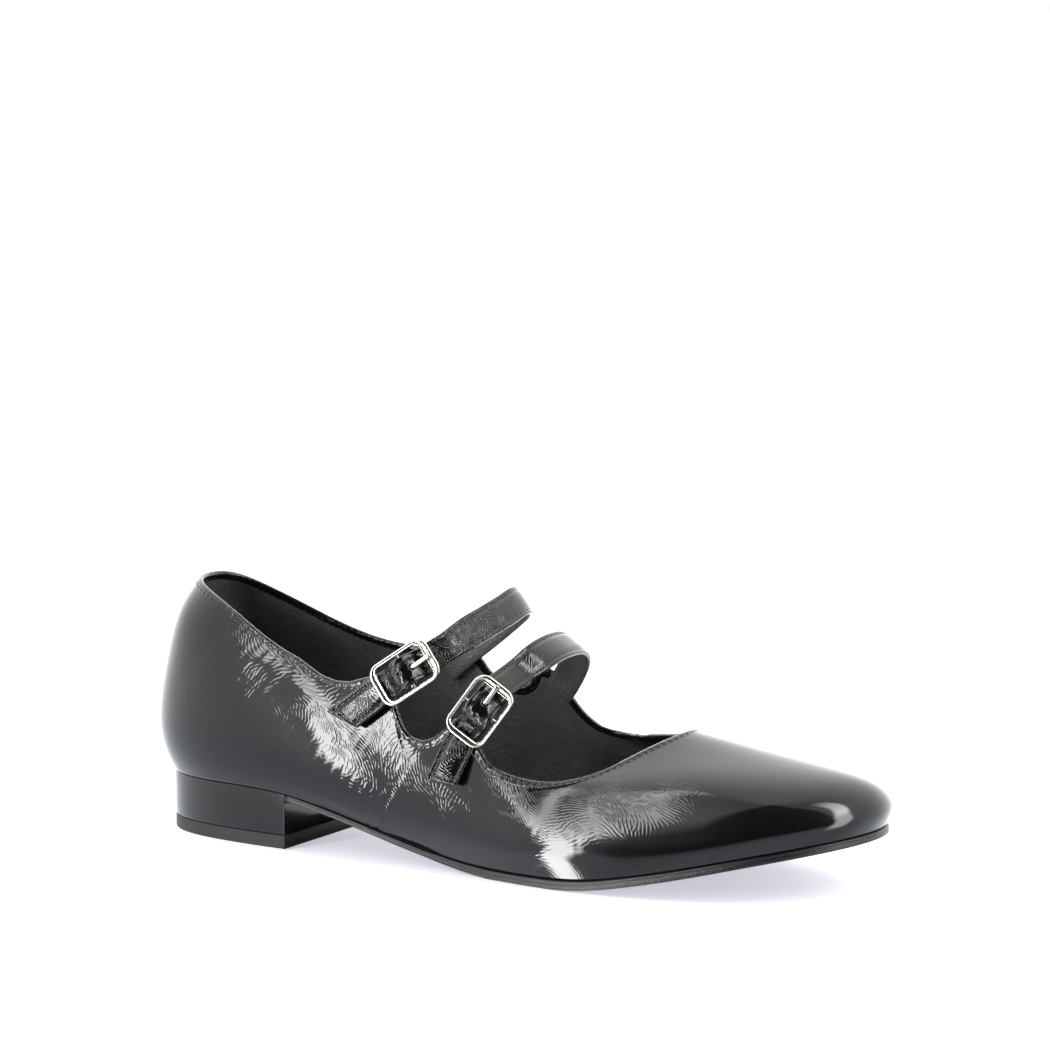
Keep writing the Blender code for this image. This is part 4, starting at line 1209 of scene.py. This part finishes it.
# the tent's arithmetic, in order: what the step gives, the operation, then numbers or what earlier steps gave
tentSteps = [
    ("backwards", "MULTIPLY", "partY", -1.0), ("turnAngle", "ARCTAN2", "partX", "backwards"),
    ("turn", "DEGREES", "turnAngle"),
    ("heightAngle", "ARCSINE", "partZ"), ("height", "DEGREES", "heightAngle"),
    ("heightUp", "ADD", "height", 90.0), ("heightShare", "DIVIDE", "heightUp", 180.0),
    # the dark of the opening reaches lower on its left
    ("turnBelow", "MINIMUM", "turn", 60.0), ("turnKept", "MAXIMUM", "turnBelow", -60.0),
    ("leftwards", "SUBTRACT", 15.0, "turnKept"), ("tilt", "MULTIPLY", "leftwards", 0.2),
    ("tiltedUp", "ADD", "heightUp", "tilt"), ("tiltedShare", "DIVIDE", "tiltedUp", 180.0),
    ("turnSize", "ABSOLUTE", "turn"), ("roundShare", "DIVIDE", "turnSize", 180.0),
    ("wallTone", "CURVE", "heightShare"), ("openingTone", "CURVE", "tiltedShare"),
    ("leftTone", "CURVE", "heightShare"), ("rightTone", "CURVE", "heightShare"),
    ("leftPlace", "CURVE", "heightShare"), ("roundTone", "CURVE", "roundShare"),
    ("wallShade", "MULTIPLY", "wallTone", "roundTone"),
    ("walls", "MULTIPLY", "wallShade", studio["roundTop"] * studio["walls"]),
    *spanSteps("opening", "turn", *studio["openingSpan"]),
    ("closed", "SUBTRACT", 1.0, "opening"), ("wallsSeen", "MULTIPLY", "walls", "closed"),
    ("openingShade", "MULTIPLY", "openingTone", studio["opening"]),
    ("openingSeen", "MULTIPLY", "openingShade", "opening"), ("tent", "ADD", "wallsSeen", "openingSeen"),
    ("leftTurn", "MULTIPLY", "leftPlace", 100.0), ("offLeft", "ADD", "turn", "leftTurn"),
    *spanSteps("leftSpan", "offLeft", *studio["leftSpan"]),
    ("leftLight", "MULTIPLY", "leftSpan", "leftTone"), ("left", "MULTIPLY", "leftLight", studio["leftStrip"]),
    # the right strip leans outwards above 30 degrees
    ("above", "SUBTRACT", "height", 30.0), ("aboveKept", "MAXIMUM", "above", 0.0),
    ("lean", "MULTIPLY", "aboveKept", 0.3), ("offRight", "SUBTRACT", "turn", "lean"),
    *spanSteps("rightSpan", "offRight", *studio["rightSpan"]),
    ("rightLight", "MULTIPLY", "rightSpan", "rightTone"),
    ("right", "MULTIPLY", "rightLight", studio["rightStrip"]),
    ("strips", "ADD", "left", "right"),
]
made = {"partX": part.outputs[0], "partY": part.outputs[1], "partZ": part.outputs[2]}
for name, operation, *values in tentSteps:
    inputs = {i: made[value] if isinstance(value, str) else value for i, value in enumerate(values)}
    if operation == "CURVE":
        low, wide, top = (0, 180, studio["roundTop"]) if name == "roundTone" else (-90, 180, 1)
        points = [((x - low) / wide, y / top) for x, y in studio[name]]
        node = addNode(tree, "ShaderNodeFloatCurve", {"Value": inputs[0]})
        curve = node.mapping.curves[0]
        curve.points[0].location, curve.points[1].location = points[0], points[-1]
        for x, y in points[1:-1]:
            curve.points.new(x, y)
        for point in curve.points:
            point.handle_type = "VECTOR"
        node.mapping.update()
    else:
        node = addNode(tree, "ShaderNodeMath", inputs, operation=operation)
    made[name] = node.outputs[0]

# the lit table is a little bluer than the walls
coolness = addNode(tree, "ShaderNodeMapRange", {"Value": made["height"]}, From_Min=-20.0, From_Max=0.0)
tint = addNode(tree, "ShaderNodeMix", {
    "Factor": coolness.outputs[0], "A": studio["tableTint"], "B": studio["wallTint"],
}, data_type="RGBA")
tent = addNode(tree, "ShaderNodeBackground", {"Color": tint.outputs["Result"], "Strength": made["tent"]})
strips = addNode(tree, "ShaderNodeBackground", {"Strength": made["strips"]}, Color=studio["stripTint"])
lit = addNode(tree, "ShaderNodeAddShader", {0: tent.outputs[0], 1: strips.outputs[0]})
paperWhite = addNode(tree, "ShaderNodeBackground", Color=(1.0, 1.0, 1.0, 1.0), Strength=1.0)
rays = addNode(tree, "ShaderNodeLightPath")
seen = addNode(tree, "ShaderNodeMixShader", {
    0: rays.outputs["Is Camera Ray"], 1: lit.outputs[0], 2: paperWhite.outputs[0],
})
addNode(tree, "ShaderNodeOutputWorld", {"Surface": seen.outputs[0]})

# floor: half its side in metres; shade: its middle, sides and height in mm
stageBuild = {"floor": 6.0, "shadeMiddle": (98, -8, -0.4), "shadeSides": (84, 54, 0)}

# translucent white table sheet lit from below, so shadows on it are faint
paper, tree, shader = newMaterial(
    "litTableSheet", Base_Color=hexColour("#e6e6ea"), Roughness=0.9, Specular_IOR_Level=0.1,
    Emission_Color=hexColour("#f3f3ff"), Emission_Strength=0.55,
)
bm = bmesh.new()
bmesh.ops.create_grid(bm, x_segments=1, y_segments=1, size=stageBuild["floor"])
floor = finishPiece("floor", bm, (paper,))
floor.visible_glossy = False  # the tent's own floor tone is what the leather mirrors
floor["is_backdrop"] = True

# dark below the arch of the shoe, seen only as a reflection in the heel breast and sole
shadePaint, tree, shader = newMaterial(
    "archShade", Base_Color=hexColour("#0a0a0a"), Roughness=1.0, Specular_IOR_Level=0.0,
)
bm = bmesh.new()
bmesh.ops.create_grid(bm, x_segments=1, y_segments=1, size=0.5)
for vert in bm.verts:
    vert.co = toRow(np.array(stageBuild["shadeMiddle"]) + np.array(vert.co) * stageBuild["shadeSides"])
archShade = finishPiece("archShade", bm, (shadePaint,))
archShade.visible_diffuse = False
archShade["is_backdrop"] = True

a, e = math.radians(viewing["azimuth"]), math.radians(viewing["elevation"])
towards = Vector((math.sin(a) * math.cos(e), -math.cos(a) * math.cos(e), math.sin(e)))
cameraData = bpy.data.cameras.new("camera")
camera = bpy.data.objects.new("camera", cameraData)
scene.collection.objects.link(camera)
cameraData.lens = viewing["focal"]
cameraData.sensor_width = viewing["sensor"]
cameraData.clip_end = 100.0
camera.location = Vector(toRow(viewing["target"])) + towards * viewing["distance"]
tipped = math.radians(90 - viewing["elevation"] + viewing["pitch"])
camera.rotation_euler = Euler((tipped, 0.0, math.radians(viewing["azimuth"] + viewing["yaw"])))
scene.camera = camera
print("studio set")

low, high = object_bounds()
print("done")
